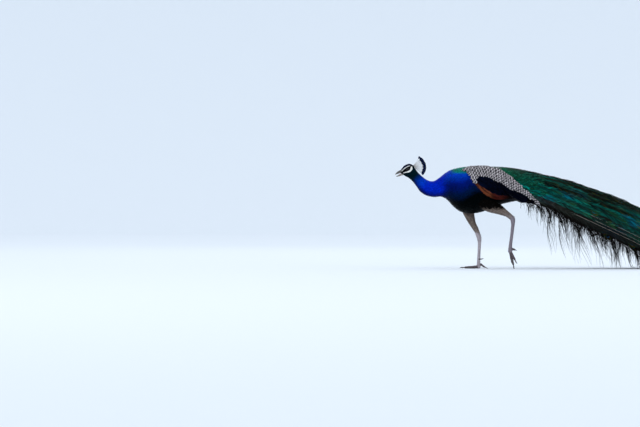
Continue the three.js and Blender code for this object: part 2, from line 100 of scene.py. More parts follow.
def smooth_step(low: float, high: float, value: Array) -> Array:
    """Rises smoothly from 0 at low to 1 at high."""
    t = np.clip((value - low) / (high - low), 0, 1)
    return t * t * (3 - 2 * t)


def mix(first: Array, second: Array, share: Array) -> Array:
    """Blends two colours, or arrays of colours, by a share for each row."""
    share = np.asarray(share)[..., None]
    return first * (1 - share) + second * share


def painted(tint: Array, code: str, share: Array) -> Array:
    """Lays an sRGB hex colour over colours, by a share for each."""
    return mix(tint, tone(code), share)


def spline(rows: Array, places: Array) -> Array:
    """Runs a Catmull-Rom curve through rows of numbers.

    Args:
        rows: The numbers at evenly spaced knots, one row to a knot.
        places: Where to read the curve, from 0 at the first row to 1 at the last.

    Returns:
        One row for each place.
    """
    rows = np.asarray(rows, float).reshape(len(rows), -1)
    padded = np.vstack([2 * rows[0] - rows[1], rows, 2 * rows[-1] - rows[-2]])
    spot = np.clip(places, 0, 1) * (len(rows) - 1)
    knot = np.minimum(spot.astype(int), len(rows) - 2)
    t = (spot - knot)[:, None]
    p0, p1, p2, p3 = (padded[knot + k] for k in range(4))
    return 0.5 * (
        2 * p1
        + (p2 - p0) * t
        + (2 * p0 - 5 * p1 + 4 * p2 - p3) * t**2
        + (3 * p1 - p0 - 3 * p2 + p3) * t**3
    )


def path_ratio(points: Array, path: Sequence[tuple[float, float, float]]) -> Array:
    """Measures how far points lie from an open path, in the plane of X and Z.

    Args:
        points: Rows of X, Y and Z.
        path: The path's corners, as X, Z and half of the path's width there.

    Returns:
        The distance for each point, as a share of the half width at the nearest place.
    """
    flat = points[:, [0, 2]]
    best = np.full(len(flat), np.inf)
    for start, end in zip(path[:-1], path[1:]):
        a, b = np.array(start[:2]), np.array(end[:2])
        share = np.clip(((flat - a) @ (b - a)) / ((b - a) @ (b - a)), 0, 1)
        away = np.linalg.norm(flat - (a + share[:, None] * (b - a)), axis=1)
        best = np.minimum(best, away / (start[2] + share * (end[2] - start[2])))
    return best


def inside_outline(points: Array, outline: Sequence[tuple[float, float]]) -> Array:
    """Tests whether points lie inside a closed outline in the plane of X and Z.

    Args:
        points: Rows of X, Y and Z.
        outline: The outline's corners, as X and Z.

    Returns:
        True for each point inside.
    """
    x, z = points[:, 0], points[:, 2]
    inside = np.zeros(len(points), bool)
    for (x1, z1), (x2, z2) in zip(outline, [*outline[1:], outline[0]]):
        if z1 == z2:
            continue
        crosses = (z1 > z) != (z2 > z)
        inside ^= crosses & (x < (x2 - x1) * (z - z1) / (z2 - z1) + x1)
    return inside


# ---- Materials ----


def add_node(tree: bpy.types.NodeTree, kind: str, settings: dict, links: dict) -> bpy.types.Node:
    """Adds a node with its settings and the links into it.

    Args:
        tree: The material's node tree.
        kind: The node's type.
        settings: Properties by name, and the values of inputs by number or by name after a "=".
        links: The sockets that feed inputs, by the input's number or name.

    Returns:
        The node.
    """
    node = tree.nodes.new(kind)
    for key, value in settings.items():
        if isinstance(key, int):
            node.inputs[key].default_value = value
        elif key.startswith("="):
            node.inputs[key[1:]].default_value = value
        else:
            setattr(node, key, value)
    for key, socket in links.items():
        tree.links.new(socket, node.inputs[key])
    return node


def start_material(name: str, shader: dict) -> bpy.types.Material:
    """Makes a material whose Principled shader has its constant sockets set by name."""
    material = bpy.data.materials.new(name)
    material.use_nodes = True
    principled = material.node_tree.nodes["Principled BSDF"]
    for key, value in shader.items():
        principled.inputs[key].default_value = value
    return material


def add_math(tree: bpy.types.NodeTree, operation: str, *inputs: object) -> bpy.types.NodeSocket:
    """Adds a math node, each of whose inputs is a number or a socket, and gives its output."""
    numbers = {k: v for k, v in enumerate(inputs) if isinstance(v, (int, float))}
    links = {k: v for k, v in enumerate(inputs) if k not in numbers}
    return add_node(tree, "ShaderNodeMath", {"operation": operation, **numbers}, links).outputs[0]


def map_range(
    tree: bpy.types.NodeTree,
    value: bpy.types.NodeSocket,
    source: tuple[float, float],
    target: tuple[float, float],
) -> bpy.types.NodeSocket:
    """Maps a value from one range to another and holds it at the ends."""
    ends = dict(zip(("=From Min", "=From Max", "=To Min", "=To Max"), (*source, *target)))
    return add_node(tree, "ShaderNodeMapRange", ends, {"Value": value}).outputs[0]


def add_pattern(tree: bpy.types.NodeTree, kind: str, settings: dict) -> bpy.types.NodeSocket:
    """Adds a texture in the piece's own space, with its scale in turns to a metre."""
    place = add_node(tree, "ShaderNodeTexCoord", {}, {})
    return add_node(tree, kind, settings, {"Vector": place.outputs["Object"]}).outputs[0]


def shade_and_relief(
    material: bpy.types.Material,
    shade: bpy.types.NodeSocket,
    height: bpy.types.NodeSocket,
    strength: float,
    depth: float,
) -> bpy.types.Material:
    """Gives a material the piece's own colours, times a shade, and a relief.

    Args:
        material: The material.
        shade: What the colours are multiplied by.
        height: The relief's height.
        strength: The relief's strength.
        depth: Its depth in metres, below 0 where high values are low places.

    Returns:
        The same material.
    """
    tree = material.node_tree
    principled = tree.nodes["Principled BSDF"]
    colour = add_node(tree, "ShaderNodeAttribute", {"attribute_name": "Tint"}, {})
    links = {0: colour.outputs["Color"], "Scale": shade}
    tinted = add_node(tree, "ShaderNodeVectorMath", {"operation": "SCALE"}, links)
    settings = {"=Strength": strength, "=Distance": abs(depth), "invert": depth < 0}
    bump = add_node(tree, "ShaderNodeBump", settings, {"Height": height})
    tree.links.new(tinted.outputs[0], principled.inputs["Base Color"])
    tree.links.new(bump.outputs[0], principled.inputs["Normal"])
    return material


@dataclass(frozen=True)
class FeatherFinish:
    """Feather keratin, its colour held by the barbs and read from the piece's own attribute.

    Attributes:
        name: The material's name.
        roughness: How widely the barbs scatter light.
        metallic: How much of the colour is structural and so tints the gloss.
        barbs: How many barbs show along the vane.
        relief: The depth of the grooves between barbs.
        groove_shade: How much darker the grooves between barbs are, as painted shade.
        gloss: The strength of the surface reflection, low because barbs scatter it.
    """

    name: str
    roughness: float = 0.5
    metallic: float = 0.0
    barbs: float = 26.0
    relief: float = 0.35
    groove_shade: float = 0.28
    gloss: float = 0.05

    def material(self) -> bpy.types.Material:
        """Builds the material: barb grooves swept to the tip, darkened as painted shade, over the
        feather's own colour.
        """
        shader = {
            "Roughness": self.roughness,
            "Metallic": self.metallic,
            "IOR": 1.54,
            "Specular IOR Level": self.gloss,
            "Specular Tint": (*linear("#4c5260"), 1),
        }
        material = start_material(self.name, shader)
        tree = material.node_tree
        vane = add_node(tree, "ShaderNodeUVMap", {"uv_map": "Vane"}, {})
        apart = add_node(tree, "ShaderNodeSeparateXYZ", {}, {0: vane.outputs[0]})
        # Barbs leave the shaft on both sides and sweep towards the tip, which gives a herringbone.
        off = add_math(tree, "SUBTRACT", apart.outputs[0], 0.5)
        aside = add_math(tree, "ABSOLUTE", off)
        swept = add_math(tree, "MULTIPLY_ADD", aside, -0.55, apart.outputs[1])
        wave = add_math(tree, "SINE", add_math(tree, "MULTIPLY", swept, self.barbs * math.tau))
        # The grooves between barbs are darkened: painted shade.
        shaded_grooves = map_range(tree, wave, (-1.0, 1.0), (1 - self.groove_shade, 1.0))
        return shade_and_relief(material, shaded_grooves, wave, self.relief, 0.4 * MM)


@dataclass(frozen=True)
class SkinFinish:
    """Bare skin, pebbled at the scale of feather follicles, tinted by the piece's attribute.

    Attributes:
        name: The material's name.
        roughness: How matt the skin is.
        pebble: The width of a pebble in metres.
        relief: The depth of the creases between pebbles.
    """

    name: str
    roughness: float = 0.6
    pebble: float = 1.2 * MM
    relief: float = 0.35

    def material(self) -> bpy.types.Material:
        """Builds the material: pebbles in bump and in a slight change of colour, with painted shade
        in the creases between them.
        """
        shader = {"Roughness": self.roughness, "IOR": 1.4, "Specular IOR Level": 0.3}
        material = start_material(self.name, shader)
        tree = material.node_tree
        # Pebbles about a millimetre wide sit in blotches of a centimetre, as on a fowl's leg.
        cells = add_pattern(tree, "ShaderNodeTexVoronoi", {"=Scale": 1 / self.pebble})
        blotch = add_pattern(tree, "ShaderNodeTexNoise", {"=Scale": 90.0, "=Detail": 3.0})
        shade = map_range(tree, blotch, (0.3, 0.7), (0.78, 1.1))
        # The creases between pebbles are darkened: painted shade.
        crease_shade = map_range(tree, cells, (0.35, 0.75), (1.03, 0.78))
        both = add_math(tree, "MULTIPLY", shade, crease_shade)
        return shade_and_relief(material, both, cells, self.relief, -0.3 * MM)


@dataclass(frozen=True)
class HornFinish:
    """Keratin: smooth where it is worn, with fine growth lines and a warm translucence.

    Attributes:
        name: The material's name.
        roughness: The roughness of the worn surface.
        grain: How fine the growth lines are: at 1 they lie about a millimetre apart.
    """

    name: str
    roughness: float = 0.38
    grain: float = 0.9

    def material(self) -> bpy.types.Material:
        """Makes the material."""
        shader = {"Roughness": self.roughness, "IOR": 1.54, "Coat Weight": 0.15}
        shader["Coat Roughness"] = 0.25
        material = start_material(self.name, shader)
        tree = material.node_tree
        # Growth lines about a millimetre apart catch the light along claws and bill.
        fine = {"=Scale": 900.0 * self.grain, "=Detail": 2.0, "=Roughness": 0.5}
        lines = add_pattern(tree, "ShaderNodeTexNoise", fine)
        cloud = add_pattern(tree, "ShaderNodeTexNoise", {"=Scale": 160.0, "=Detail": 3.0})
        shade = map_range(tree, cloud, (0.3, 0.7), (0.75, 1.15))
        return shade_and_relief(material, shade, lines, 0.25, 0.1 * MM)


@dataclass(frozen=True)
class LiningFinish:
    """The dull undersides of overlapping plumes, brown-black and streaked along the train, darkened
    as painted shade between the loose barbs.

    Attributes:
        name: The material's name.
        tones: The colours of the darkest and the lightest streaks.
    """

    name: str = "dull_and_shaded_plume_lining"
    tones: tuple[str, str] = ("#070706", "#18150f")

    def material(self) -> bpy.types.Material:
        """Makes the material."""
        shader = {"Roughness": 0.9, "IOR": 1.54, "Specular IOR Level": 0.1}
        material = start_material(self.name, shader)
        tree = material.node_tree
        principled = tree.nodes["Principled BSDF"]
        place = add_node(tree, "ShaderNodeTexCoord", {}, {})
        # Barbs run back and down, so the streaks are long that way and 2 mm apart across.
        lie = {"=Rotation": (0.0, 0.45, 0.0), "=Scale": (14.0, 160.0, 160.0)}
        turned = add_node(tree, "ShaderNodeMapping", lie, {"Vector": place.outputs["Object"]})
        grain = {"=Scale": 2.2, "=Detail": 5.0, "=Roughness": 0.65}
        streaks = add_node(tree, "ShaderNodeTexNoise", grain, {"Vector": turned.outputs[0]})
        ramp = add_node(tree, "ShaderNodeValToRGB", {}, {0: streaks.outputs[0]})
        for element, position, code in zip(ramp.color_ramp.elements, (0.32, 0.68), self.tones):
            element.position = position
            element.color = (*linear(code), 1)
        settings = {"=Strength": 0.5, "=Distance": MM}
        bump = add_node(tree, "ShaderNodeBump", settings, {"Height": streaks.outputs[0]})
        tree.links.new(ramp.outputs[0], principled.inputs["Base Color"])
        tree.links.new(bump.outputs[0], principled.inputs["Normal"])
        return material


# ---- Surfaces that feathers grow from ----


class Sheet:
    """A smooth surface held as a grid of points over two parameters from 0 to 1.

    The first parameter runs the way that the feathers lie. The second runs across it, and on a
    closed form it wraps round.
    """

    def __init__(self, grid: Array, wraps: bool, inner: Array) -> None:
        """Stores the grid with its slopes and outward normals.

        Args:
            grid: Points, indexed by the first parameter, then by the second.
            wraps: True if the second parameter closes on itself.
            inner: Points inside the form, one for each row of the grid, to tell out from in.
        """
        self.grid = grid
        self.wraps = wraps
        self.along = np.gradient(grid, axis=0) * (grid.shape[0] - 1)
        if wraps:
            across = (np.roll(grid, -1, 1) - np.roll(grid, 1, 1)) / 2 * grid.shape[1]
        else:
            across = np.gradient(grid, axis=1) * (grid.shape[1] - 1)
        self.across = across
        normals = unit(np.cross(self.along, self.across))
        out = np.einsum("abk,abk->ab", normals, grid - inner[:, None, :])
        self.normals = normals * np.where(np.median(out) < 0, -1.0, 1.0)

    def read(self, table: Array, a: Array, b: Array) -> Array:
        """Reads a table of vectors between its grid points."""
        rows, columns = table.shape[:2]
        i = np.clip(a, 0, 1) * (rows - 1)
        i0 = np.minimum(i.astype(int), rows - 2)
        if self.wraps:
            j = (b % 1.0) * columns
            j0 = j.astype(int) % columns
            j1 = (j0 + 1) % columns
        else:
            j = np.clip(b, 0, 1) * (columns - 1)
            j0 = np.minimum(j.astype(int), columns - 2)
            j1 = j0 + 1
        u, v = (i - i0)[..., None], (j - np.floor(j))[..., None]
        if not self.wraps:
            v = (j - j0)[..., None]
        near = table[i0, j0] * (1 - v) + table[i0, j1] * v
        far = table[i0 + 1, j0] * (1 - v) + table[i0 + 1, j1] * v
        return near * (1 - u) + far * u

    def normal(self, a: Array, b: Array) -> Array:
        """Gives the outward normals."""
        return unit(self.read(self.normals, a, b))

    def point(self, a: Array, b: Array, height: Array | float = 0.0) -> Array:
        """Gives points at a height over the surface."""
        lift = np.asarray(height)[..., None]
        return self.read(self.grid, a, b) + self.normal(a, b) * lift

    def stretch(self, a: Array, b: Array) -> tuple[Array, Array]:
        """Gives the length of surface to one unit of the first and of the second parameter."""
        tables = (self.along, self.across)
        return tuple(np.linalg.norm(self.read(table, a, b), axis=-1) for table in tables)

    def lines(self, a: Array, b: Array, length: Array, yaw: Array, t: Array) -> tuple[Array, Array]:
        """Draws nearly straight lines over the surface.

        Args:
            a: Where each line starts, by the first parameter.
            b: The same, by the second.
            length: The length of each line.
            yaw: Its turn across the surface, in radians.
            t: Where to read the lines, from 0 to 1.

        Returns:
            Both parameters, with one row for each line.
        """
        slope, across = self.stretch(a, b)
        path_a = a[:, None] + t * (length / slope)[:, None]
        return path_a, b[:, None] + t * (yaw * length / across)[:, None]

    def trace(
        self, a: Array, b: Array, heading: Callable[[Array], Array], step: Array, rows: int
    ) -> tuple[Array, Array]:
        """Walks over the surface, each time along the heading as far as the surface allows.

        Args:
            a: Where each walk starts, by the first parameter.
            b: The same, by the second.
            heading: The wished direction at given points.
            step: The length of each walk's steps.
            rows: How many points each walk has.

        Returns:
            Both parameters, with one row for each walk.
        """
        path_a, path_b = [a], [b]
        for _ in range(rows - 1):
            a, b = path_a[-1], path_b[-1]
            ta, tb = self.read(self.along, a, b), self.read(self.across, a, b)
            wish = heading(self.read(self.grid, a, b))
            aa, ab, bb = ((u * v).sum(-1) for u, v in ((ta, ta), (ta, tb), (tb, tb)))
            wa, wb = (ta * wish).sum(-1), (tb * wish).sum(-1)
            det = np.maximum(aa * bb - ab * ab, 1e-12)
            da, db = (bb * wa - ab * wb) / det, (aa * wb - ab * wa) / det
            move = np.linalg.norm(da[:, None] * ta + db[:, None] * tb, axis=1)
            scale = step / np.maximum(move, 1e-9)
            path_a.append(a + da * scale)
            path_b.append(b + db * scale)
        return np.stack(path_a, 1), np.stack(path_b, 1)


def blurred(table: Array, axis: int, spread: float, wraps: bool) -> Array:
    """Blurs a table along an axis with a bell curve.

    Args:
        table: The numbers.
        axis: The axis to blur along.
        spread: The bell's standard deviation, in cells.
        wraps: True if the axis closes on itself.

    Returns:
        The blurred table.
    """
    reach = max(1, int(3 * spread))
    weights = np.exp(-0.5 * (np.arange(-reach, reach + 1) / spread) ** 2)
    weights /= weights.sum()
    pads = [(0, 0)] * table.ndim
    pads[axis] = (reach, reach)
    padded = np.pad(table, pads, mode="wrap" if wraps else "edge")
    length = table.shape[axis]
    parts = (w * np.take(padded, range(k, k + length), axis=axis) for k, w in enumerate(weights))
    return sum(parts)


def solid_tree(names: Sequence[str]) -> tuple[BVHTree, list[int]]:
    """Builds one search tree from the solids of several nodes.

    Args:
        names: The nodes.

    Returns:
        The tree, and the number of the node that each of its faces belongs to.
    """
    corners: list[Vector] = []
    faces: list[tuple[int, ...]] = []
    owners: list[int] = []
    for number, name in enumerate(names):
        mesh = frame["nodes"][name].data
        start = len(corners)
        corners.extend(v.co.copy() for v in mesh.vertices)
        faces.extend(tuple(start + k for k in p.vertices) for p in mesh.polygons)
        owners.extend([number] * len(mesh.polygons))
    return BVHTree.FromPolygons(corners, faces), owners


@dataclass(frozen=True)
class Section:
    """A plane across a form.

    Attributes:
        centre: X, Y and Z of a point inside the form, in millimetres.
        lean: The turn of the plane's upward direction from +Z towards +X, in degrees.
        reach: How far out the form may lie from the centre, in millimetres.
    """

    centre: tuple[float, float, float]
    lean: float
    reach: float


def wrapped_sheet(
    names: Sequence[str],
    sections: Sequence[Section],
    rows: int = 150,
    columns: int = 72,
    spread: tuple[float, float] = (2.6, 1.3),
) -> Sheet:
    """Samples the outside of some solids round a bent axis and smooths it.

    Args:
        names: The solids' nodes.
        sections: Planes across the form, in order along the lie of its feathers.
        rows: How many planes to sample.
        columns: How many directions to sample in each plane.
        spread: How far to smooth along and across, in cells.

    Returns:
        The surface.
    """
    tree, _ = solid_tree(names)
    places = np.linspace(0, 1, rows)
    knots = np.array([[*s.centre, s.lean, s.reach] for s in sections])
    path = spline(knots, places)
    centres, reach = path[:, :3] * MM, path[:, 4] * MM
    lean = np.radians(path[:, 3])
    turns = np.arange(columns) / columns * math.tau
    radii = np.full((rows, columns), np.nan)
    for i, centre in enumerate(centres):
        ups = np.array([math.sin(lean[i]), 0, math.cos(lean[i])])
        for j, turn in enumerate(turns):
            out = ups * math.cos(turn) + np.array([0, math.sin(turn), 0])
            hit = tree.ray_cast(Vector(centre + out * reach[i]), Vector(-out), float(reach[i]))
            if hit[0] is not None:
                radii[i, j] = reach[i] - hit[3]
    for j in range(columns):
        known = ~np.isnan(radii[:, j])
        radii[:, j] = np.interp(places, places[known], radii[known, j])
    lost = np.zeros_like(radii)
    for _ in range(2):
        # The second pass brings back the height of the domes that the first one flattens.
        level = blurred(blurred(radii + lost, 1, spread[1], True), 0, spread[0], False)
        lost = lost + radii - level
    radii = level
    ups = np.stack([np.sin(lean), 0 * lean, np.cos(lean)], 1)
    side = np.array([0.0, 1.0, 0.0])
    out = ups[:, None] * np.cos(turns)[:, None] + side * np.sin(turns)[:, None]
    return Sheet(centres[:, None] + out * radii[..., None], True, centres)


# ---- Meshes made of many small pieces ----


@dataclass
class Plumage:
    """Collects many vanes and strands and joins them into meshes.

    Attributes:
        name: The name of the piece, numbered where it is split.
        slot: The record's material slot; not used.
        replaces: The solids that it stands for.
        limit: The most faces in one piece.
        lowest: The least height over the floor, in metres.
        corners: Points collected so far, one block of pieces to a row of the list.
        quads: Their faces.
        vane: Their places on the vane.
        bake: Their places on the baking map.
        tint: Their colours.
    """

    name: str
    slot: str
    replaces: Sequence[str] = ()
    limit: int = 90_000
    lowest: float = 0.3 * MM
    corners: list[Array] = field(default_factory=list)
    quads: list[Array] = field(default_factory=list)
    vane: list[Array] = field(default_factory=list)
    bake: list[Array] = field(default_factory=list)
    tint: list[Array] = field(default_factory=list)

    def add(self, points: Array, vane: Array, patch: Array, size: float, tint: Array) -> None:
        """Adds grids of points, each of which becomes one strip or vane.

        Args:
            points: The grids, indexed by piece, row, column and axis.
            vane: The place of each point on its vane, from 0 to 1, indexed in the same way.
            patch: The low corner of each piece's patch on the baking map.
            size: The width of a patch.
            tint: The colour of each point, indexed in the same way.
        """
        points = np.maximum(points, np.array([-np.inf, -np.inf, self.lowest]))
        count, rows, columns = points.shape[:3]
        vane = np.broadcast_to(vane, (count, rows, columns, 2))
        index = np.arange(count * rows * columns).reshape(count, rows, columns)
        ring = (index[:, :-1, :-1], index[:, 1:, :-1], index[:, 1:, 1:], index[:, :-1, 1:])
        self.corners.append(points.reshape(count, -1, 3))
        self.quads.append(np.stack(ring, -1).reshape(count, -1, 4))
        spots = patch[:, None, None, :] + np.clip(vane, 0, 1) * size
        self.vane.append(vane.reshape(count, -1, 2))
        self.bake.append(spots.reshape(count, -1, 2))
        self.tint.append(np.broadcast_to(tint, points.shape).reshape(count, -1, 3))

    def add_vanes(
        self,
        centre: Array,
        up: Array,
        width: Array,
        patch: Array,
        tint: Array,
        columns: int = 5,
        camber: float = 0.18,
        sweep: float = 0.25,
        size: float = 0.003,
    ) -> None:
        """Adds flat or cambered vanes along centre lines.

        Args:
            centre: Points along each shaft, from root to tip.
            up: The outward normal at each of these points.
            width: Half of the vane's width at each of these points.
            patch: The low corner of each vane's patch on the baking map.
            tint: The colour at each row, or at each row and column, or of all of them.
            columns: How many points lie across the vane.
            camber: How far the edges drop, as a share of the half width.
            sweep: How far the edges reach towards the tip, as a share of the half width.
            size: The width of a patch.

        The normals, widths and tints may leave out what doesn't change from vane to vane.
        """
        rows = centre.shape[1]
        tangent = unit(np.gradient(centre, axis=1))
        side = unit(np.cross(up, tangent))
        c = np.linspace(-1, 1, columns)
        reach = width[..., None, None] * c[:, None]
        points = centre[:, :, None] + side[:, :, None] * reach
        points -= up[..., None, :] * (camber * width[..., None, None] * c[:, None] ** 2)
        points += tangent[:, :, None] * (sweep * width[..., None, None] * np.abs(c)[:, None])
        vane = np.empty((1, rows, columns, 2))
        vane[..., 0] = (c * 0.5 + 0.5)[None, None, :]
        vane[..., 1] = np.linspace(0, 1, rows)[None, :, None]
        if tint.ndim == 3:
            tint = tint[:, :, None, :]
        self.add(points, vane, patch, size, tint)

    def add_strands(
        self,
        path: Array,
        across: Array,
        width: Array,
        patch: Array,
        spot: Array,
        tint: Array,
        size: float = 0.003,
    ) -> None:
        """Adds thin flat strands, such as loose barbs.

        Args:
            path: Points along each strand, from root to tip.
            across: The direction of the strand's breadth at each point.
            width: Half of the breadth at each point.
            patch: The low corner of the patch of the feather that each strand belongs to.
            spot: The place of each point on that feather's vane, from 0 to 1.
            tint: The colour at each point.
            size: The width of a patch.
        """
        offset = across * width[..., None]
        points = np.stack([path - offset, path + offset], 2)
        shift = np.array([[-0.004, 0.0], [0.004, 0.0]])
        vane = spot[:, :, None, :] + shift
        self.add(points, vane, patch, size, tint[..., None, :])

    def finish(self, material: bpy.types.Material) -> list[bpy.types.Object]:
        """Joins what was collected into pieces of a bounded size and dresses them.

        Args:
            material: The finish of all of them.

        Returns:
            The pieces.
        """
        corners, quads, vane, bake, tint = [], [], [], [], []
        pieces: list[bpy.types.Object] = []
        start = faces = 0

        def close() -> None:
            """Turns the collected arrays into one more piece."""
            nonlocal start, faces
            if not corners:
                return
            suffix = f"_{len(pieces) + 1}" if (pieces or self.total() > self.limit) else ""
            piece = mesh_piece(
                self.name + suffix, np.vstack(corners), np.vstack(quads), material
            )
            loops = np.vstack(quads).ravel()
            add_map(piece, "Vane", np.vstack(vane)[loops])
            add_map(piece, "OFBake", np.vstack(bake)[loops])
            add_tint(piece, np.vstack(tint))
            if self.replaces:
                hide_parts(*self.replaces)
            pieces.append(piece)
            for store in (corners, quads, vane, bake, tint):
                store.clear()
            start = faces = 0

        for block in zip(self.corners, self.quads, self.vane, self.bake, self.tint):
            per_piece = block[1].shape[1]
            done = 0
            while done < len(block[0]):
                room = max(1, (self.limit - faces) // per_piece)
                if faces and (self.limit - faces) < per_piece:
                    close()
                    continue
                part = [values[done : done + room] for values in block]
                first = part[1][0].min()
                corners.append(part[0].reshape(-1, 3))
                quads.append((part[1] - first + start).reshape(-1, 4))
                vane.append(part[2].reshape(-1, 2))
                bake.append(part[3].reshape(-1, 2))
                tint.append(part[4].reshape(-1, 3))
                start += corners[-1].shape[0]
                faces += quads[-1].shape[0]
                done += len(part[0])
        close()
        for store in (self.corners, self.quads, self.vane, self.bake, self.tint):
            store.clear()
        return pieces

    def total(self) -> int:
        """Counts the faces collected."""
        return sum(q.shape[0] * q.shape[1] for q in self.quads)


def mesh_piece(
    name: str, corners: Array, faces: Array, material: bpy.types.Material
) -> bpy.types.Object:
    """Makes a smooth-shaded piece from arrays and lets it ride on the body.

    Args:
        name: The piece's name.
        corners: Its vertices.
        faces: Its faces, all with the same number of corners.
        material: Its finish.

    Returns:
        The piece.
    """
    mesh = bpy.data.meshes.new(name)
    sides = faces.shape[1]
    mesh.vertices.add(len(corners))
    mesh.vertices.foreach_set("co", corners.astype(np.float32).ravel())
    mesh.loops.add(faces.size)
    mesh.loops.foreach_set("vertex_index", faces.astype(np.int32).ravel())
    mesh.polygons.add(len(faces))
    mesh.polygons.foreach_set("loop_start", np.arange(0, faces.size, sides, dtype=np.int32))
    mesh.update(calc_edges=True)
    mesh.shade_smooth()
    return shown(mesh, material)


def sort_faces(work: bmesh.types.BMesh) -> None:
    """Puts faces in the order of their corners.

    Extruding and spinning make them in an order that changes from run to run.
    """
    work.verts.index_update()
    total = len(work.verts)

    def place_of(face: bmesh.types.BMFace) -> float:
        """Numbers a face by its lowest and highest corner, then by all of them."""
        numbers = [v.index for v in face.verts]
        return min(numbers) * total + max(numbers) + sum(numbers) / (total * total)

    work.faces.sort(key=place_of)


def mesh_from(work: bmesh.types.BMesh, name: str) -> bpy.types.Mesh:
    """Turns a worked mesh into a smooth-shaded one and frees it."""
    mesh = bpy.data.meshes.new(name)
    work.to_mesh(mesh)
    work.free()
    mesh.shade_smooth()
    return mesh


def shown(mesh: bpy.types.Mesh, material: bpy.types.Material) -> bpy.types.Object:
    """Makes a mesh a piece of its name in the scene, with its material and body."""
    piece = bpy.data.objects.new(mesh.name, mesh)
    bpy.context.scene.collection.objects.link(piece)
    piece.data.materials.clear()
    piece.data.materials.append(material)
    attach(piece, "root")
    return piece


def add_map(piece: bpy.types.Object, name: str, places: Array) -> None:
    """Adds a UV map from one place for each face corner."""
    layer = piece.data.uv_layers.new(name=name)
    layer.uv.foreach_set("vector", places.astype(np.float32).ravel())


def add_tint(piece: bpy.types.Object, tint: Array) -> None:
    """Adds the colour of each vertex, or one for all, in linear light as the attribute Tint."""
    layer = piece.data.color_attributes.new("Tint", "FLOAT_COLOR", "POINT")
    rgba = np.ones((len(piece.data.vertices), 4), np.float32)
    rgba[:, :3] = np.clip(tint, 0, 1)
    layer.data.foreach_set("color", rgba.ravel())


# ---- Stage ----


@dataclass(frozen=True)
class Studio:
    """A pale bowl-shaped studio with soft lights and a distant camera on the bird's left.

    Attributes:
        floor_radius: The radius of the flat floor.
        sweep_radius: The radius of the curve that turns the floor up into the wall.
        wall_height: The height of the wall over the curve.
        camera_place: Where the camera stands.
        view_width: The width of the view at the bird's plane of symmetry.
    """

    floor_radius: float = 22.0
    sweep_radius: float = 8.0
    wall_height: float = 0.5
    camera_place: tuple[float, float, float] = (-0.753, -14.0, 0.261)
    view_width: float = 3.04

    def build(self) -> None:
        """Builds the floor, the camera and the lights."""
        self.build_floor()
        self.build_camera()
        self.build_lights()

    def build_floor(self) -> None:
        """Spins the profile of floor, curve and wall round the vertical axis."""
        work = bmesh.new()
        steps = 24
        profile = [(0.0, 0.0), (self.floor_radius, 0.0)]
        for k in range(1, steps + 1):
            turn = k / steps * math.pi / 2
            across = self.floor_radius + self.sweep_radius * math.sin(turn)
            profile.append((across, self.sweep_radius * (1 - math.cos(turn))))
        profile.append((profile[-1][0], self.sweep_radius + self.wall_height))
        corners = [work.verts.new((x, 0, z)) for x, z in profile]
        edges = [work.edges.new(pair) for pair in zip(corners[:-1], corners[1:])]
        bmesh.ops.spin(
            work,
            geom=corners + edges,
            axis=(0, 0, 1),
            cent=(0, 0, 0),
            angle=math.tau,
            steps=96,
            use_merge=True,
        )
        bmesh.ops.remove_doubles(work, verts=work.verts, dist=1e-5)
        bmesh.ops.recalc_face_normals(work, faces=work.faces)
        mesh = mesh_from(work, "studio_floor")
        shader = {"Base Color": (*linear("#dfe4ea"), 1), "Roughness": 0.95}
        material = start_material("matt_paper", shader)
        mesh.materials.append(material)
        floor = bpy.data.objects.new("studio_floor", mesh)
        bpy.context.scene.collection.objects.link(floor)

    def build_camera(self) -> None:
        """Sets a level camera square to the bird's side, with a long lens."""
        camera = bpy.data.cameras.new("camera")
        camera.sensor_width = 36.0
        camera.lens = camera.sensor_width * -self.camera_place[1] / self.view_width
        camera.clip_end = 200.0
        holder = bpy.data.objects.new("camera", camera)
        holder.location = self.camera_place
        holder.rotation_euler = (math.pi / 2, 0, 0)
        bpy.context.scene.collection.objects.link(holder)
        bpy.context.scene.camera = holder

    def build_lights(self) -> None:
        """Hangs three soft boxes and lights the world evenly."""
        for name, place, size, power in (
            ("key", (-4.0, -6.5, 6.0), 5.0, 80.0),
            ("fill", (4.5, -6.0, 3.5), 4.0, 15.0),
            ("rim", (1.0, 6.0, 6.0), 5.0, 55.0),
        ):
            lamp = bpy.data.lights.new(name, "AREA")
            lamp.size = size
            lamp.energy = power
            holder = bpy.data.objects.new(name, lamp)
            holder.location = place
            aim = Vector((0.2, 0.0, 0.3)) - Vector(place)
            holder.rotation_euler = aim.to_track_quat("-Z", "Y").to_euler()
            bpy.context.scene.collection.objects.link(holder)
        world = bpy.data.worlds.new("world")
        world.use_nodes = True
        background = world.node_tree.nodes["Background"]
        background.inputs["Color"].default_value = (*linear("#e8f0f8"), 1)
        background.inputs["Strength"].default_value = 1.30
        bpy.context.scene.world = world
        bpy.context.scene.view_settings.view_transform = "Standard"


# ---- Markings ----


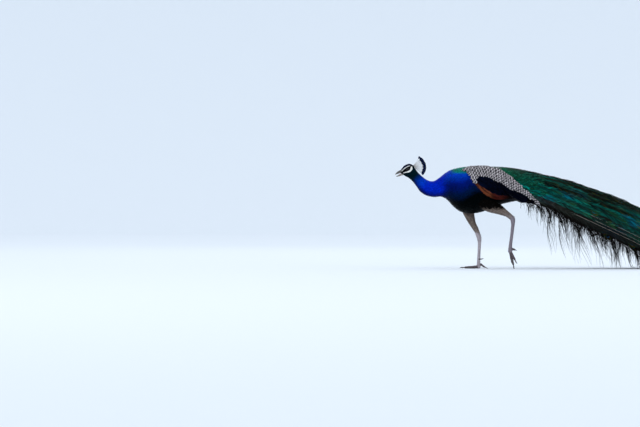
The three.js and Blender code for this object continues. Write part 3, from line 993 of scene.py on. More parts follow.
@dataclass(frozen=True)
class Markings:
    """The colours of the body by place, shared by the skin and the coat that covers it."""

    cobalt: str = "#022cd0"
    azure_and_highlight: str = "#0358d4"
    neck_underside_shade: str = "#010a44"
    throat: str = "#011a22"
    crown: str = "#04083a"
    navy: str = "#01186a"
    breast: str = "#011a40"
    belly: str = "#010608"
    mantle: str = "#0d937e"
    rump: str = "#050404"
    shank: str = "#84756c"
    heel: str = "#a79b99"
    flank: str = "#030202"
    leg: str = "#aba1a6"
    raised_leg_shaded: str = "#857b83"
    toe: str = "#5c5153"
    neck_x: tuple[float, ...] = (-315, -300, -284, -264, -241, -212, -150)
    neck_z: tuple[float, ...] = (454, 436, 417, 396, 382, 374, 376)

    def torso(self, points: Array) -> Array:
        """Gives the colours of the neck, breast, belly and back.

        Args:
            points: Rows of X, Y and Z.

        Returns:
            One colour in linear light for each point.
        """
        x, _, z = points.T / MM
        # The blue is brightest on the side of the neck and deep along its underside, where the deep
        # blue is painted shade.
        under = smooth_step(6, 40, np.interp(x, self.neck_x, self.neck_z) - z)
        tint = painted(tone(self.cobalt), self.neck_underside_shade, 0.9 * under)
        # Down the neck it passes from dark teal at the throat through azure to cobalt.
        down = 0.66 * (x + 300) - 0.75 * (z - 436)
        tint = painted(tint, self.azure_and_highlight, 0.4 * smooth_step(75, 40, down) * (1 - 0.7 * under))
        tint = painted(tint, self.throat, smooth_step(50, -6, down))
        # Over the breast it turns to navy, then to a greenish black on the belly and flank.
        rear = smooth_step(-178, -138, x)
        # A lighter azure over the top of the lower neck and breast is a painted highlight.
        tint = painted(tint, self.azure_and_highlight, 0.5 * rear * smooth_step(405, 440, z - 0.1 * x))
        level = z - 45 * smooth_step(-95, 10, x)
        tint = painted(tint, self.navy, smooth_step(456, 384, level) * rear)
        tint = painted(tint, self.breast, smooth_step(386, 340, level) * rear)
        tint = painted(tint, self.belly, smooth_step(344, 308, level) * rear)
        back = smooth_step(-140, -105, x + 0.5 * (z - 462)) * smooth_step(446, 462, z)
        tint = painted(tint, self.mantle, back)
        vent = smooth_step(80, 130, x) * smooth_step(350, 325, z)
        return painted(tint, self.rump, vent)


MARKS = Markings()


# ---- The body's forms ----

TORSO_NODES = ("head", "neck_upper", "neck_lower", "trunk", "rump")
TORSO = (
    Section((-372, 0, 458), 2, 30),
    Section((-365, 0, 460), 4, 40),
    Section((-349, 0, 463), 4, 45),
    Section((-331, 0, 463), 6, 50),
    Section((-315, 0, 454), 12, 55),
    Section((-300, 0, 436), 18, 50),
    Section((-284, 0, 417), 21, 50),
    Section((-264, 0, 396), 19, 50),
    Section((-241, 0, 382), 12, 60),
    Section((-212, 0, 378), 0, 70),
    Section((-181, 0, 388), -7, 90),
    Section((-156, 0, 391), -8, 110),
    Section((-128, 0, 384), -5, 130),
    Section((-92, 0, 376), -3, 160),
    Section((-44, 0, 374), -2, 170),
    Section((6, 0, 378), 0, 170),
    Section((53, 0, 381), 0, 170),
    Section((99, 0, 381), 0, 150),
    Section((146, 0, 379), 0, 130),
    Section((190, 0, 373), 0, 110),
    Section((222, 0, 369), 0, 80),
)


def coat_depth(x: Array) -> Array:
    """Gives the depth of the torso's coat by its place along the bird."""
    stops = np.array([-375, -335, -300, -240, -180, -100, 240]) * MM
    return np.interp(x, stops, np.array([0.7, 1.5, 3.0, 4.5, 6.0, 8.0, 8.0]) * MM)


def tract(
    sheet: Sheet,
    spacing: Callable[[float], float],
    ends: tuple[float, float],
    seed: int,
    arc: tuple[float, float] = (0.0, 1.0),
    looseness: float = 0.14,
) -> tuple[Array, Array, Array]:
    """Sets feather roots over a surface in staggered rows.

    Args:
        sheet: The surface.
        spacing: The distance between roots for a place along the surface.
        ends: Where the first and the last row lie, by the first parameter.
        seed: The seed of the slight disorder.
        arc: The stretch of the second parameter to cover.
        looseness: The disorder, as a share of the spacing.

    Returns:
        Both parameters of each root, and the spacing there.
    """
    rng = np.random.default_rng(seed)
    parts: list[tuple[Array, Array, Array]] = []
    a, row = ends[0], 0
    ring_points = 97
    sweep = np.linspace(arc[0], arc[1], ring_points)
    while a < ends[1]:
        gap = spacing(a)
        ring = sheet.point(np.full(ring_points, a), sweep)
        reach = np.concatenate([[0], np.cumsum(np.linalg.norm(np.diff(ring, axis=0), axis=1))])
        count = max(3, round(reach[-1] / gap))
        marks = (np.arange(count) + 0.5 * (row % 2)) / count * reach[-1]
        b = np.interp(marks + rng.normal(0, looseness * gap, count), reach, sweep)
        slope = sheet.stretch(np.full(ring_points, a), sweep)[0].mean()
        shift = rng.normal(0, looseness * gap, count) / slope
        parts.append((np.clip(a + shift, 0, 1), b, np.full(count, gap)))
        a += 0.86 * gap / slope
        row += 1
    return tuple(np.concatenate(group) for group in zip(*parts))


def is_covered(tree: BVHTree, points: Array, normals: Array, within: float) -> Array:
    """Tells which points lie under a layer."""
    hits = (
        tree.ray_cast(Vector(p - n * MM), Vector(n), within)[0] for p, n in zip(points, normals)
    )
    return np.array([hit is not None for hit in hits])


@dataclass
class ContourCoat:
    """The small overlapping feathers of the head, neck, breast, belly and rump.

    Attributes:
        rows: How many points lie along each feather.
        overlap: The length of a feather in spacings.
        breadth: Half of the width of a feather in spacings.
    """

    rows: int = 6
    overlap: float = 2.7
    breadth: float = 0.66

    def spacing(self, sheet: Sheet) -> Callable[[float], float]:
        """Gives the spacing of roots by the place along the surface."""
        stops = np.array([-372, -340, -318, -300, -250, -190, -120, -60, 230]) * MM
        gaps = np.array([2.0, 2.3, 2.8, 3.6, 4.6, 6.0, 7.6, 8.8, 9.5]) * MM

        def gap(a: float) -> float:
            """Reads the spacing at one row."""
            x = sheet.grid[int(a * (sheet.grid.shape[0] - 1)), :, 0].mean()
            return float(np.interp(x, stops, gaps))

        return gap

    def build(self, sheet: Sheet, cover: BVHTree, face: "Face") -> None:
        """Grows the coat.

        Args:
            sheet: The outside of the torso.
            cover: The wings and the train, under which no feathers are needed.
            face: The bird's face, which keeps feathers off its bare patches, bill and eyes.
        """
        a, b, gap = tract(sheet, self.spacing(sheet), (0.02, 0.97), 11)
        length = self.overlap * gap
        slope, _ = sheet.stretch(a, b)
        tip = np.clip(a + length / slope, 0, 1)
        root_point, tip_point = sheet.point(a, b), sheet.point(tip, b)
        hidden = is_covered(cover, root_point, sheet.normal(a, b), 40 * MM)
        hidden &= is_covered(cover, tip_point, sheet.normal(tip, b), 40 * MM)
        shown_at = sheet.point(np.clip(a + 0.6 * length / slope, 0, 1), b)
        keep = ~hidden & ~face.bare(root_point) & ~face.bare_patch(shown_at)
        a, b, gap, length = (v[keep] for v in (a, b, gap, length))
        rng = np.random.default_rng(12)
        t = np.linspace(0, 1, self.rows)
        path_a, path_b = sheet.lines(a, b, length, rng.normal(0, 0.10, len(a)), t)
        depth = coat_depth(sheet.point(a, b)[:, 0])[:, None]
        lift = rng.uniform(0.0, 0.35, len(a))[:, None] * MM
        crown = face.crown(sheet.point(a, b))[:, None]
        height = -depth * (1 - t) ** 1.2 + lift * t**2 + crown
        centre = sheet.point(path_a, path_b, height)
        up = sheet.normal(path_a, path_b)
        profile = np.interp(t, [0, 0.25, 0.6, 0.85, 1], [0.35, 0.8, 1.0, 0.78, 0.16])
        width = (self.breadth * gap)[:, None] * profile
        tint = self.tints(centre, t, rng, face)
        coat = Plumage("body_coat", "plumage_neck")
        patch = np.stack([a * 0.95, (b % 1.0) * 0.95], 1)
        coat.add_vanes(centre, up, width, patch, tint, camber=0.12, sweep=0.3)
        coat.finish(FeatherFinish("glossy_contour_feathers", 0.45, 0.3, 14).material())

    def tints(self, centre: Array, t: Array, rng: Random, face: "Face") -> Array:
        """Colours each row of each feather, darker towards the root as painted shade under the
        feathers above, with a scaly edge on the back.
        """
        count = len(centre)
        base = MARKS.torso(centre[:, -1])
        base = face.paint(centre[:, -1], base)
        base = base * rng.uniform(0.8, 1.2, (count, 1))
        # Each feather darkens towards its root: painted shade under the feathers that overlap it.
        shade = np.interp(t, [0, 0.5, 0.85, 1], [0.35, 0.8, 1.0, 1.05])
        tint = base[:, None, :] * shade[None, :, None]
        x, _, z = (centre[:, -1] / MM).T
        scaly = smooth_step(-140, -105, x) * smooth_step(445, 465, z)
        rim = scaly[:, None] * np.interp(t, [0.8, 0.97], [0, 0.85])[None, :]
        return painted(tint, "#021a14", rim)


@dataclass(frozen=True)
class Face:
    """The markings of the head, as paths in the plane of X and Z, in millimetres.

    Attributes:
        eye: The centre of an eye.
        brow: The path of the bare white stripe over the eye, with half of its width.
        stripe: The path of the black stripe from the bill through the eye, in the same way.
        cheek: The path of the bare white crescent under the eye, in the same way.
        ridge: The line over the brow where the blue of the crown starts.
    """

    eye: tuple[float, float, float] = (-336, 11.6, 470.5)
    brow: tuple[tuple[float, float, float], ...] = (
        (-364, 462, 1.2), (-357, 470, 1.7), (-347, 478.5, 1.9), (-337, 484, 1.8), (-326, 487, 1.2)
    )
    stripe: tuple[tuple[float, float, float], ...] = (
        (-366, 458, 5.5), (-350, 465, 8.0), (-334, 474, 10.5), (-316, 485, 7.5)
    )
    cheek: tuple[tuple[float, float, float], ...] = (
        (-357, 453.5, 1.1),
        (-345, 456.5, 1.9),
        (-333, 459, 3.4),
        (-324, 464, 4.4),
        (-318.5, 472, 4.6),
        (-318, 482, 2.6),
    )
    ridge: tuple[tuple[float, float], ...] = (
        (-368, 463), (-357, 472), (-347, 480.5), (-337, 486), (-322, 489), (-300, 484)
    )

    def bare(self, points: Array) -> Array:
        """Tells which points are on the eyes."""
        x, y, z = points.T / MM
        away = np.hypot(x - self.eye[0], z - self.eye[2])
        return (away < 6.2) & (np.abs(y) > 5)

    def paint(self, points: Array, tint: Array) -> Array:
        """Paints the stripes of the head over the colours of the torso.

        Args:
            points: Rows of X, Y and Z.
            tint: One colour for each point.

        Returns:
            The colours with the face's markings.
        """
        flat = points / MM
        side = smooth_step(4, 7.5, np.abs(flat[:, 1]))
        white = tone("#e9e8e2")
        stripe = smooth_step(1.1, 0.95, path_ratio(flat, self.stripe)) * side
        tint = painted(tint, "#040507", stripe)
        line = np.interp(flat[:, 0], *np.array(self.ridge).T)
        crown = smooth_step(-0.5, 1.0, flat[:, 2] - line) * smooth_step(-296, -304, flat[:, 0])
        tint = painted(tint, MARKS.crown, crown)
        brow = smooth_step(1.15, 0.9, path_ratio(flat, self.brow)) * side
        tint = mix(tint, white, brow)
        cheek = smooth_step(1.1, 0.93, path_ratio(flat, self.cheek)) * side
        return mix(tint, white, cheek * (1 - smooth_step(7.0, 5.6, self.eye_distance(flat))))

    def bare_patch(self, points: Array) -> Array:
        """Tells which points lie on the bare white skin over and under the eye."""
        flat = points / MM
        side = np.abs(flat[:, 1]) > 6
        return side & ((path_ratio(flat, self.brow) < 0.8) | (path_ratio(flat, self.cheek) < 0.8))

    def patch(self, points: Array) -> Array:
        """Tells which points lie on or at the edge of the bare skin of the face."""
        flat = points / MM
        return (path_ratio(flat, self.brow) < 1.5) | (path_ratio(flat, self.cheek) < 1.4)

    def folded(self, points: Array, normals: Array) -> Array:
        """Raises the rim of each eye's socket and the edges of the bare patches."""
        flat = points / MM
        away = self.eye_distance(flat)
        side = smooth_step(5, 8, np.abs(flat[:, 1]))
        rim = np.exp(-(((away - 7.4) / 1.2) ** 2)) * 0.8 * side
        cheek = smooth_step(1.15, 0.75, path_ratio(flat, self.cheek))
        brow = smooth_step(1.2, 0.7, path_ratio(flat, self.brow))
        patch = np.maximum(cheek, brow) * side
        # The bare patches rise to the level of the feathers round them.
        lump = patch * (coat_depth(points[:, 0]) / MM + 0.2) * smooth_step(5.5, 7.5, away)
        raised = (rim * (1 - patch) + lump) * MM + self.crown(points)
        return points + normals * raised[:, None]

    def crown(self, points: Array) -> Array:
        """Tells how far the full feathers of the crown stand over the head's own curve."""
        x, y, z = points.T / MM
        line = np.interp(x, *np.array(self.ridge).T)
        along = smooth_step(-366, -356, x) * smooth_step(-302, -314, x)
        return 1.8 * MM * along * smooth_step(-2, 3, z - line) * smooth_step(13, 8, np.abs(y))

    def eye_distance(self, flat: Array) -> Array:
        """Measures the distance from the eye's centre as seen from the side."""
        return np.hypot(flat[:, 0] - self.eye[0], flat[:, 2] - self.eye[2])


# ---- Skin ----

LEG_SIDES = ("left", "right")
SHANK_NODES = tuple(f"shank_{side}" for side in LEG_SIDES)
FOOT_NODES = tuple(
    f"{part}_{side}{toe}"
    for side in LEG_SIDES
    for part, toe in (
        ("tarsus", ""), ("toe", "_middle"), ("toe", "_inner"), ("toe", "_outer"), ("toe", "_hind")
    )
)


@dataclass(frozen=True)
class LegLine:
    """The axis of one leg, from the shank down to the foot, in millimetres.

    Attributes:
        shank: Sections of the feathered shank, downwards.
        tarsus: The axis of the bare leg under it.
        heel: The middle of the joint between them.
    """

    shank: tuple[Section, ...]
    tarsus: tuple[tuple[float, float, float], ...]
    heel: tuple[float, float, float]


LEG_LINES = {
    "right": LegLine(
        (
            Section((-24, 46, 322), 92, 70),
            Section((-38, 44, 298), 93, 70),
            Section((-46, 38, 263), 94, 60),
            Section((-31, 28, 220), 95, 50),
            Section((-13, 20, 187), 96, 40),
            Section((-2, 16, 166), 97, 30),
            Section((2, 14, 158), 97, 30),
        ),
        (
            (-14, 17, 186), (-8, 15, 172), (4, 12, 146), (5, 9, 118), (3, 6, 78), (1, 3, 40),
            (0, 0, 9),
        ),
        (4, 12, 146),
    ),
    "left": LegLine(
        (
            Section((-16, -53, 347), 40, 70),
            Section((16, -58, 321), 40, 70),
            Section((60, -60, 294), 54, 60),
            Section((100, -57, 277), 64, 50),
            Section((132, -53, 259), 64, 35),
            Section((150, -51, 245), 62, 26),
            Section((158, -50, 240), 58, 24),
        ),
        (
            (132, -53, 257),
            (144, -52, 249.5),
            (159.5, -50, 233),
            (160, -49, 206),
            (155, -48, 160),
            (149.5, -48, 118),
            (147, -48, 82),
        ),
        (160.5, -50, 234),
    ),
}


def path_place(points: Array, path: Sequence[Sequence[float]]) -> tuple[Array, Array, Array]:
    """Finds the nearest place on a path through space.

    Args:
        points: Rows of X, Y and Z.
        path: The path's corners, in the same unit.

    Returns:
        The distance from the path, the length along it, and the nearest points.
    """
    line = np.array(path, float)
    best = np.full(len(points), np.inf)
    along = np.zeros(len(points))
    near = np.zeros((len(points), 3))
    start = 0.0
    for head, tail in zip(line[:-1], line[1:]):
        leg = tail - head
        length = float(np.linalg.norm(leg))
        share = np.clip((points - head) @ leg / length**2, 0, 1)
        spot = head + share[:, None] * leg
        away = np.linalg.norm(points - spot, axis=1)
        closer = away < best
        best = np.where(closer, away, best)
        along = np.where(closer, start + share * length, along)
        near = np.where(closer[:, None], spot, near)
        start += length
    return best, along, near


@dataclass
class Skin:
    """The one skin of the bird, from the bill's base to the toes, under its coat.

    Attributes:
        voxel: The edge of the grid that the solids are joined on.
        overlap: How far each solid grows first, so that the cuts between them close.
        kept: The share of the joined faces that stays after the hidden ones are merged.
        rounds: How often the joined surface is smoothed.
        scute: The length of one scale on the front of the leg, in millimetres.
    """

    voxel: float = 2.3 * MM
    overlap: float = 0.5 * MM
    kept: float = 0.45
    rounds: int = 12
    scute: float = 4.6

    def build(self, face: Face) -> bpy.types.Object:
        """Makes the skin.

        Args:
            face: The markings and folds of the head.

        Returns:
            The piece that replaces all nodes of flesh.
        """
        nodes = TORSO_NODES + SHANK_NODES + FOOT_NODES
        points, faces = self.joined(nodes)
        points = self.smoothed(points, self.edges_of(faces), self.rounds)
        hidden = [nodes.index(n) for n in TORSO_NODES if n != "head"]
        hidden = np.isin(self.nearest_nodes(points, nodes), hidden)
        points, faces = self.thinned(points, faces, hidden)
        nearest = self.nearest_nodes(points, nodes)
        fine = [nodes.index(n) for n in ("head",) + FOOT_NODES]
        points, faces = self.refined(points, faces, np.isin(nearest, fine))
        around_eye = face.patch(points) | (face.eye_distance(points / MM) < 12)
        points, faces = self.refined(points, faces, around_eye)
        edges = self.edges_of(faces)
        points = self.smoothed(points, edges, 3)
        nearest = self.nearest_nodes(points, nodes)
        depth = self.depths(points, nearest, nodes)
        depth = self.spread(depth[:, None], edges, 16)[:, 0]
        normals = self.spread(self.normals(points, faces), edges, 4)
        points = points - unit(normals) * depth[:, None]
        bare = np.isin(nearest, [nodes.index(n) for n in FOOT_NODES])
        points = face.folded(points, unit(normals))
        points = self.scaled_legs(points, unit(normals), bare)
        tint = self.tints(points, nearest, nodes, edges, face)
        material = SkinFinish("scaly_bird_skin", 0.7).material()
        skin = mesh_piece("skin", points, faces, material)
        add_tint(skin, tint)
        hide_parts(*nodes)
        return skin

    def joined(self, nodes: Sequence[str]) -> tuple[Array, Array]:
        """Joins the solids of the flesh into one closed surface of quads.

        Args:
            nodes: The solids.

        Returns:
            Its corners and its faces, without anything that lies inside.
        """
        work = bmesh.new()
        for name in nodes:
            part = bmesh.new()
            part.from_mesh(frame["nodes"][name].data)
            bmesh.ops.remove_doubles(part, verts=part.verts, dist=1e-5)
            part.normal_update()
            for vertex in part.verts:
                vertex.co += vertex.normal * self.overlap
            grown = bpy.data.meshes.new("grown")
            part.to_mesh(grown)
            part.free()
            work.from_mesh(grown)
            bpy.data.meshes.remove(grown)
        mesh = bpy.data.meshes.new("flesh")
        work.to_mesh(mesh)
        work.free()
        block = bpy.data.objects.new("flesh", mesh)
        bpy.context.scene.collection.objects.link(block)
        remesh = block.modifiers.new("joined", "REMESH")
        remesh.mode = "VOXEL"
        remesh.voxel_size = self.voxel
        return self.largest(*self.applied(block))

    def thinned(self, points: Array, faces: Array, hidden: Array) -> tuple[Array, Array]:
        """Merges small faces where the body's coat hides the skin.

        Args:
            points: The corners.
            faces: The faces.
            hidden: True for each corner under the coat.

        Returns:
            The corners and faces of the lighter surface.
        """
        mesh = bpy.data.meshes.new("dense")
        mesh.from_pydata(points.tolist(), [], faces.tolist())
        block = bpy.data.objects.new("dense", mesh)
        bpy.context.scene.collection.objects.link(block)
        group = block.vertex_groups.new(name="hidden")
        group.add(np.flatnonzero(hidden).tolist(), 1.0, "REPLACE")
        thin = block.modifiers.new("thinned", "DECIMATE")
        thin.ratio = self.kept
        thin.vertex_group = group.name
        thin.use_collapse_triangulate = True
        return self.applied(block)

    @staticmethod
    def applied(block: bpy.types.Object) -> tuple[Array, Array]:
        """Gives a block's corners and faces as its modifiers leave them, and removes it."""
        graph = bpy.context.evaluated_depsgraph_get()
        solid = bpy.data.meshes.new_from_object(block.evaluated_get(graph))
        points = np.empty(len(solid.vertices) * 3)
        solid.vertices.foreach_get("co", points)
        faces = np.array([tuple(p.vertices) for p in solid.polygons])
        for data in (block, block.data, solid):
            bpy.data.batch_remove([data])
        return points.reshape(-1, 3), faces

    def largest(self, points: Array, faces: Array) -> tuple[Array, Array]:
        """Keeps the largest connected part of a surface."""
        label = np.arange(len(points))
        edges = self.edges_of(faces)
        while True:
            low = label.copy()
            np.minimum.at(low, edges[:, 0], label[edges[:, 1]])
            np.minimum.at(low, edges[:, 1], label[edges[:, 0]])
            low = low[low]
            if (low == label).all():
                break
            label = low
        main_part = np.bincount(label).argmax()
        keep = label == main_part
        number = np.cumsum(keep) - 1
        return points[keep], number[faces[keep[faces[:, 0]]]]

    @staticmethod
    def edges_of(faces: Array) -> Array:
        """Lists the edges of a mesh once each."""
        after = np.roll(faces, -1, axis=1)
        sides = np.concatenate([np.stack(pair, 1) for pair in zip(faces.T, after.T)])
        return np.unique(np.sort(sides, axis=1), axis=0)

    @staticmethod
    def spread(values: Array, edges: Array, rounds: int) -> Array:
        """Averages values over neighbouring vertices, a few times."""
        count = np.bincount(edges.ravel(), minlength=len(values))[:, None]
        for _ in range(rounds):
            total = np.zeros_like(values)
            for k in range(values.shape[1]):
                for one, other in (edges.T, edges.T[::-1]):
                    total[:, k] += np.bincount(one, values[other, k], len(values))
            values = 0.5 * values + 0.5 * total / np.maximum(count, 1)
        return values

    def smoothed(self, points: Array, edges: Array, rounds: int) -> Array:
        """Smooths a surface without shrinking it."""
        for _ in range(rounds):
            ahead = self.spread(points, edges, 1)
            back = self.spread(ahead, edges, 1)
            points = ahead - 1.04 * (back - ahead)
        return points

    @staticmethod
    def normals(points: Array, faces: Array) -> Array:
        """Gives the outward normal at each vertex."""
        one = points[faces[:, 1]] - points[faces[:, 0]]
        two = points[faces[:, 2]] - points[faces[:, 0]]
        flat = np.cross(one, two)
        total = np.zeros_like(points)
        for k in range(3):
            for axis in range(3):
                total[:, axis] += np.bincount(faces[:, k], flat[:, axis], len(points))
        return unit(total)

    @staticmethod
    def refined(points: Array, faces: Array, chosen: Array) -> tuple[Array, Array]:
        """Splits the edges between chosen vertices in half and turns all faces to triangles.

        Args:
            points: The corners.
            faces: The faces.
            chosen: True for each vertex whose edges are split.

        Returns:
            The corners and faces of the finer surface.
        """
        mesh = bpy.data.meshes.new("coarse")
        mesh.from_pydata(points.tolist(), [], faces.tolist())
        work = bmesh.new()
        work.from_mesh(mesh)
        work.verts.ensure_lookup_table()
        edges = [e for e in work.edges if chosen[e.verts[0].index] and chosen[e.verts[1].index]]
        bmesh.ops.subdivide_edges(work, edges=edges, cuts=1, use_grid_fill=True)
        bmesh.ops.triangulate(work, faces=work.faces)
        work.to_mesh(mesh)
        work.free()
        finer = np.empty(len(mesh.vertices) * 3)
        mesh.vertices.foreach_get("co", finer)
        corners = np.empty(len(mesh.polygons) * 3, np.int32)
        mesh.loops.foreach_get("vertex_index", corners)
        bpy.data.meshes.remove(mesh)
        return finer.reshape(-1, 3), corners.reshape(-1, 3)

    @staticmethod
    def nearest_nodes(points: Array, nodes: Sequence[str]) -> Array:
        """Gives the number of the node that lies nearest to each point."""
        tree, owners = solid_tree(nodes)
        return np.array([owners[tree.find_nearest(Vector(p))[2]] for p in points])

    @staticmethod
    def depths(points: Array, nearest: Array, nodes: Sequence[str]) -> Array:
        """Gives how deep under its coat the skin lies."""
        depth = coat_depth(points[:, 0])
        shank = np.isin(nearest, [nodes.index(n) for n in SHANK_NODES])
        foot = np.isin(nearest, [nodes.index(n) for n in FOOT_NODES])
        heel = np.full(len(points), np.inf)
        for line in LEG_LINES.values():
            away = np.linalg.norm(points / MM - np.array(line.heel), axis=1)
            heel = np.minimum(heel, away)
        under = np.interp(heel, [12, 45], [0.4, 3.2]) * MM
        return np.where(foot, 0.2 * MM, np.where(shank, under, depth + 0.5 * MM))

    def scaled_legs(self, points: Array, normals: Array, bare: Array) -> Array:
        """Raises a row of overlapping scutes on the front of each bare leg.

        Args:
            points: The skin's corners.
            normals: Their outward normals.
            bare: True for those on the legs and toes.

        Returns:
            The moved corners.
        """
        moved = points.copy()
        for line in LEG_LINES.values():
            away, along, near = path_place(points / MM, line.tarsus)
            front = smooth_step(-0.35, 0.35, -(points / MM - near)[:, 0] / np.maximum(away, 1))
            saw = (along / self.scute) % 1.0
            rise = (saw**2 - 0.5) * 0.55 * MM * front * (away < 14) * bare
            moved += normals * rise[:, None]
        return moved

    def tints(
        self, points: Array, nearest: Array, nodes: Sequence[str], edges: Array, face: Face
    ) -> Array:
        """Colours the skin as the coat over it, darker as painted shade between the feathers, and
        bare on the legs and face.
        """
        # Under the coat the skin takes the coat's colour at half: painted shade between the
        # feathers.
        torso = face.paint(points, MARKS.torso(points)) * 0.5
        whole = face.paint(points, torso)
        torso = np.where(face.patch(points)[:, None], whole, torso)
        toes = [k for k, n in enumerate(nodes) if n.startswith("toe_")]
        # The raised left leg is a darker copy of the same bare skin: painted shade.
        left = (points[:, 1] < -20 * MM)[:, None]
        leg = np.where(left, tone(MARKS.raised_leg_shaded), tone(MARKS.leg))
        leg = np.where(np.isin(nearest, toes)[:, None], tone(MARKS.toe), leg)
        # The shank's skin is darker than its feathers and black at the top: painted shade under the
        # belly, with the flank's black.
        high = smooth_step(268, 282, points[:, 2] / MM)
        shank = painted(0.8 * tone(MARKS.shank), MARKS.flank, high)
        is_foot = np.isin(nearest, [nodes.index(n) for n in FOOT_NODES])[:, None]
        is_shank = np.isin(nearest, [nodes.index(n) for n in SHANK_NODES])[:, None]
        tint = np.where(is_foot, leg, np.where(is_shank, shank, torso))
        blend = self.spread(tint, edges, 5)
        return np.where(nearest[:, None] == nodes.index("head"), tint, blend)


@dataclass
class ShankCoat:
    """The short buff feathers of both shanks.

    Attributes:
        gap: The spacing of the feathers.
    """

    gap: float = 5.2 * MM

    def build(self) -> None:
        """Grows the feathers down both legs."""
        coat = Plumage("shank_coat", "plumage_shank")
        for number, side in enumerate(LEG_SIDES):
            sheet = wrapped_sheet((f"shank_{side}",), LEG_LINES[side].shank, 60, 40, (1.6, 1.2))
            self.grow(coat, sheet, 31 + number)
        coat.finish(FeatherFinish("matt_shank_feathers", 0.8, 0.0, 12).material())

    def grow(self, coat: Plumage, sheet: Sheet, seed: int) -> None:
        """Grows the feathers of one leg.

        Args:
            coat: Where they are collected.
            sheet: The outside of the shank.
            seed: The seed of the slight disorder.
        """
        rng = np.random.default_rng(seed)

        def spacing(a: float) -> float:
            """Narrows the spacing towards the heel."""
            return float(np.interp(a, [0, 1], [1.25 * self.gap, 0.62 * self.gap]))

        a, b, gap = tract(sheet, spacing, (0.0, 0.9), seed)
        t = np.linspace(0, 1, 5)
        path_a, path_b = sheet.lines(a, b, 3.0 * gap, rng.normal(0, 0.16, len(a)), t)
        depth = np.interp(a, [0, 0.8, 1], [5.0, 3.0, 1.2])[:, None] * MM
        lift = rng.uniform(-0.1, 0.7, len(a))[:, None] * MM * (1 - 0.7 * a[:, None])
        centre = sheet.point(path_a, path_b, -depth * (1 - t) + lift * t**2)
        # The surface ends at the heel, so the last feathers carry on straight past it.
        past = np.maximum(path_a - 1.0, 0)[..., None]
        centre += past * sheet.read(sheet.along, np.ones_like(path_a), path_b)
        up = sheet.normal(path_a, path_b)
        width = (0.6 * gap)[:, None] * np.interp(t, [0, 0.3, 0.7, 1], [0.4, 1.0, 0.9, 0.2])
        base = painted(tone(MARKS.shank), MARKS.heel, smooth_step(0.5, 0.95, a))
        base = base * rng.uniform(0.7, 1.2, (len(a), 1))
        spot = centre[:, -1] / MM
        # Each shank darkens towards its top: painted shade under the belly.
        dark = smooth_step(0.30, 0.0, a + rng.normal(0, 0.05, len(a)))
        # The flank's black feathers cover the top of the near thigh.
        cover = smooth_step(274, 288, spot[:, 2] + rng.normal(0, 3, len(a)))
        dark = np.maximum(dark, cover)
        base = mix(base, tone(MARKS.flank) * 0.4, 0.99 * dark)
        # Each feather darkens towards its root: painted shade under the feathers above.
        tint = base[:, None, :] * np.interp(t, [0, 0.5, 1], [0.45, 0.9, 1.1])[None, :, None]
        patch = np.stack([a * 0.95, (b % 1.0) * 0.46 + 0.5 * (seed % 2)], 1)
        coat.add_vanes(centre, up, width, patch, tint, columns=3, camber=0.1)


# ---- Wings ----

WING_NODES = tuple(
    f"wing_{side}_{part}" for side in LEG_SIDES for part in ("scapulars", "coverts", "primaries")
)
WING_FORM = (
    Section((-112, 0, 378), 0, 170),
    Section((-60, 0, 378), 0, 170),
    Section((0, 0, 380), 0, 170),
    Section((60, 0, 380), 0, 170),
    Section((120, 0, 378), 0, 170),
    Section((180, 0, 374), 0, 170),
    Section((240, 0, 360), 0, 170),
    Section((300, 0, 346), 0, 170),
)
Outline = tuple[tuple[float, float], ...]


@dataclass(frozen=True)
class FeatherField:
    """A field of like feathers on the wing, seen from the bird's left, in millimetres.

    Attributes:
        outline: The field's outline over X and Z.
        gap: The spacing of the roots.
        length: The length of a feather.
        half: Half of its width.
        heights: How high the root and the tip lie over the wing's surface.
        rows: How many points lie along a feather.
        columns: How many points lie across it.
        seed: The seed of the slight disorder.
    """

    outline: Outline
    gap: float
    length: float
    half: float
    heights: tuple[float, float]
    rows: int
    columns: int
    seed: int


@dataclass(frozen=True)
class FlightFeather:
    """One long feather of the wing.

    Attributes:
        path: X and Z along its shaft, in millimetres.
        half: Half of its width, in millimetres.
        height: How high it lies over the wing's surface, in millimetres.
    """

    path: Outline
    half: float
    height: float


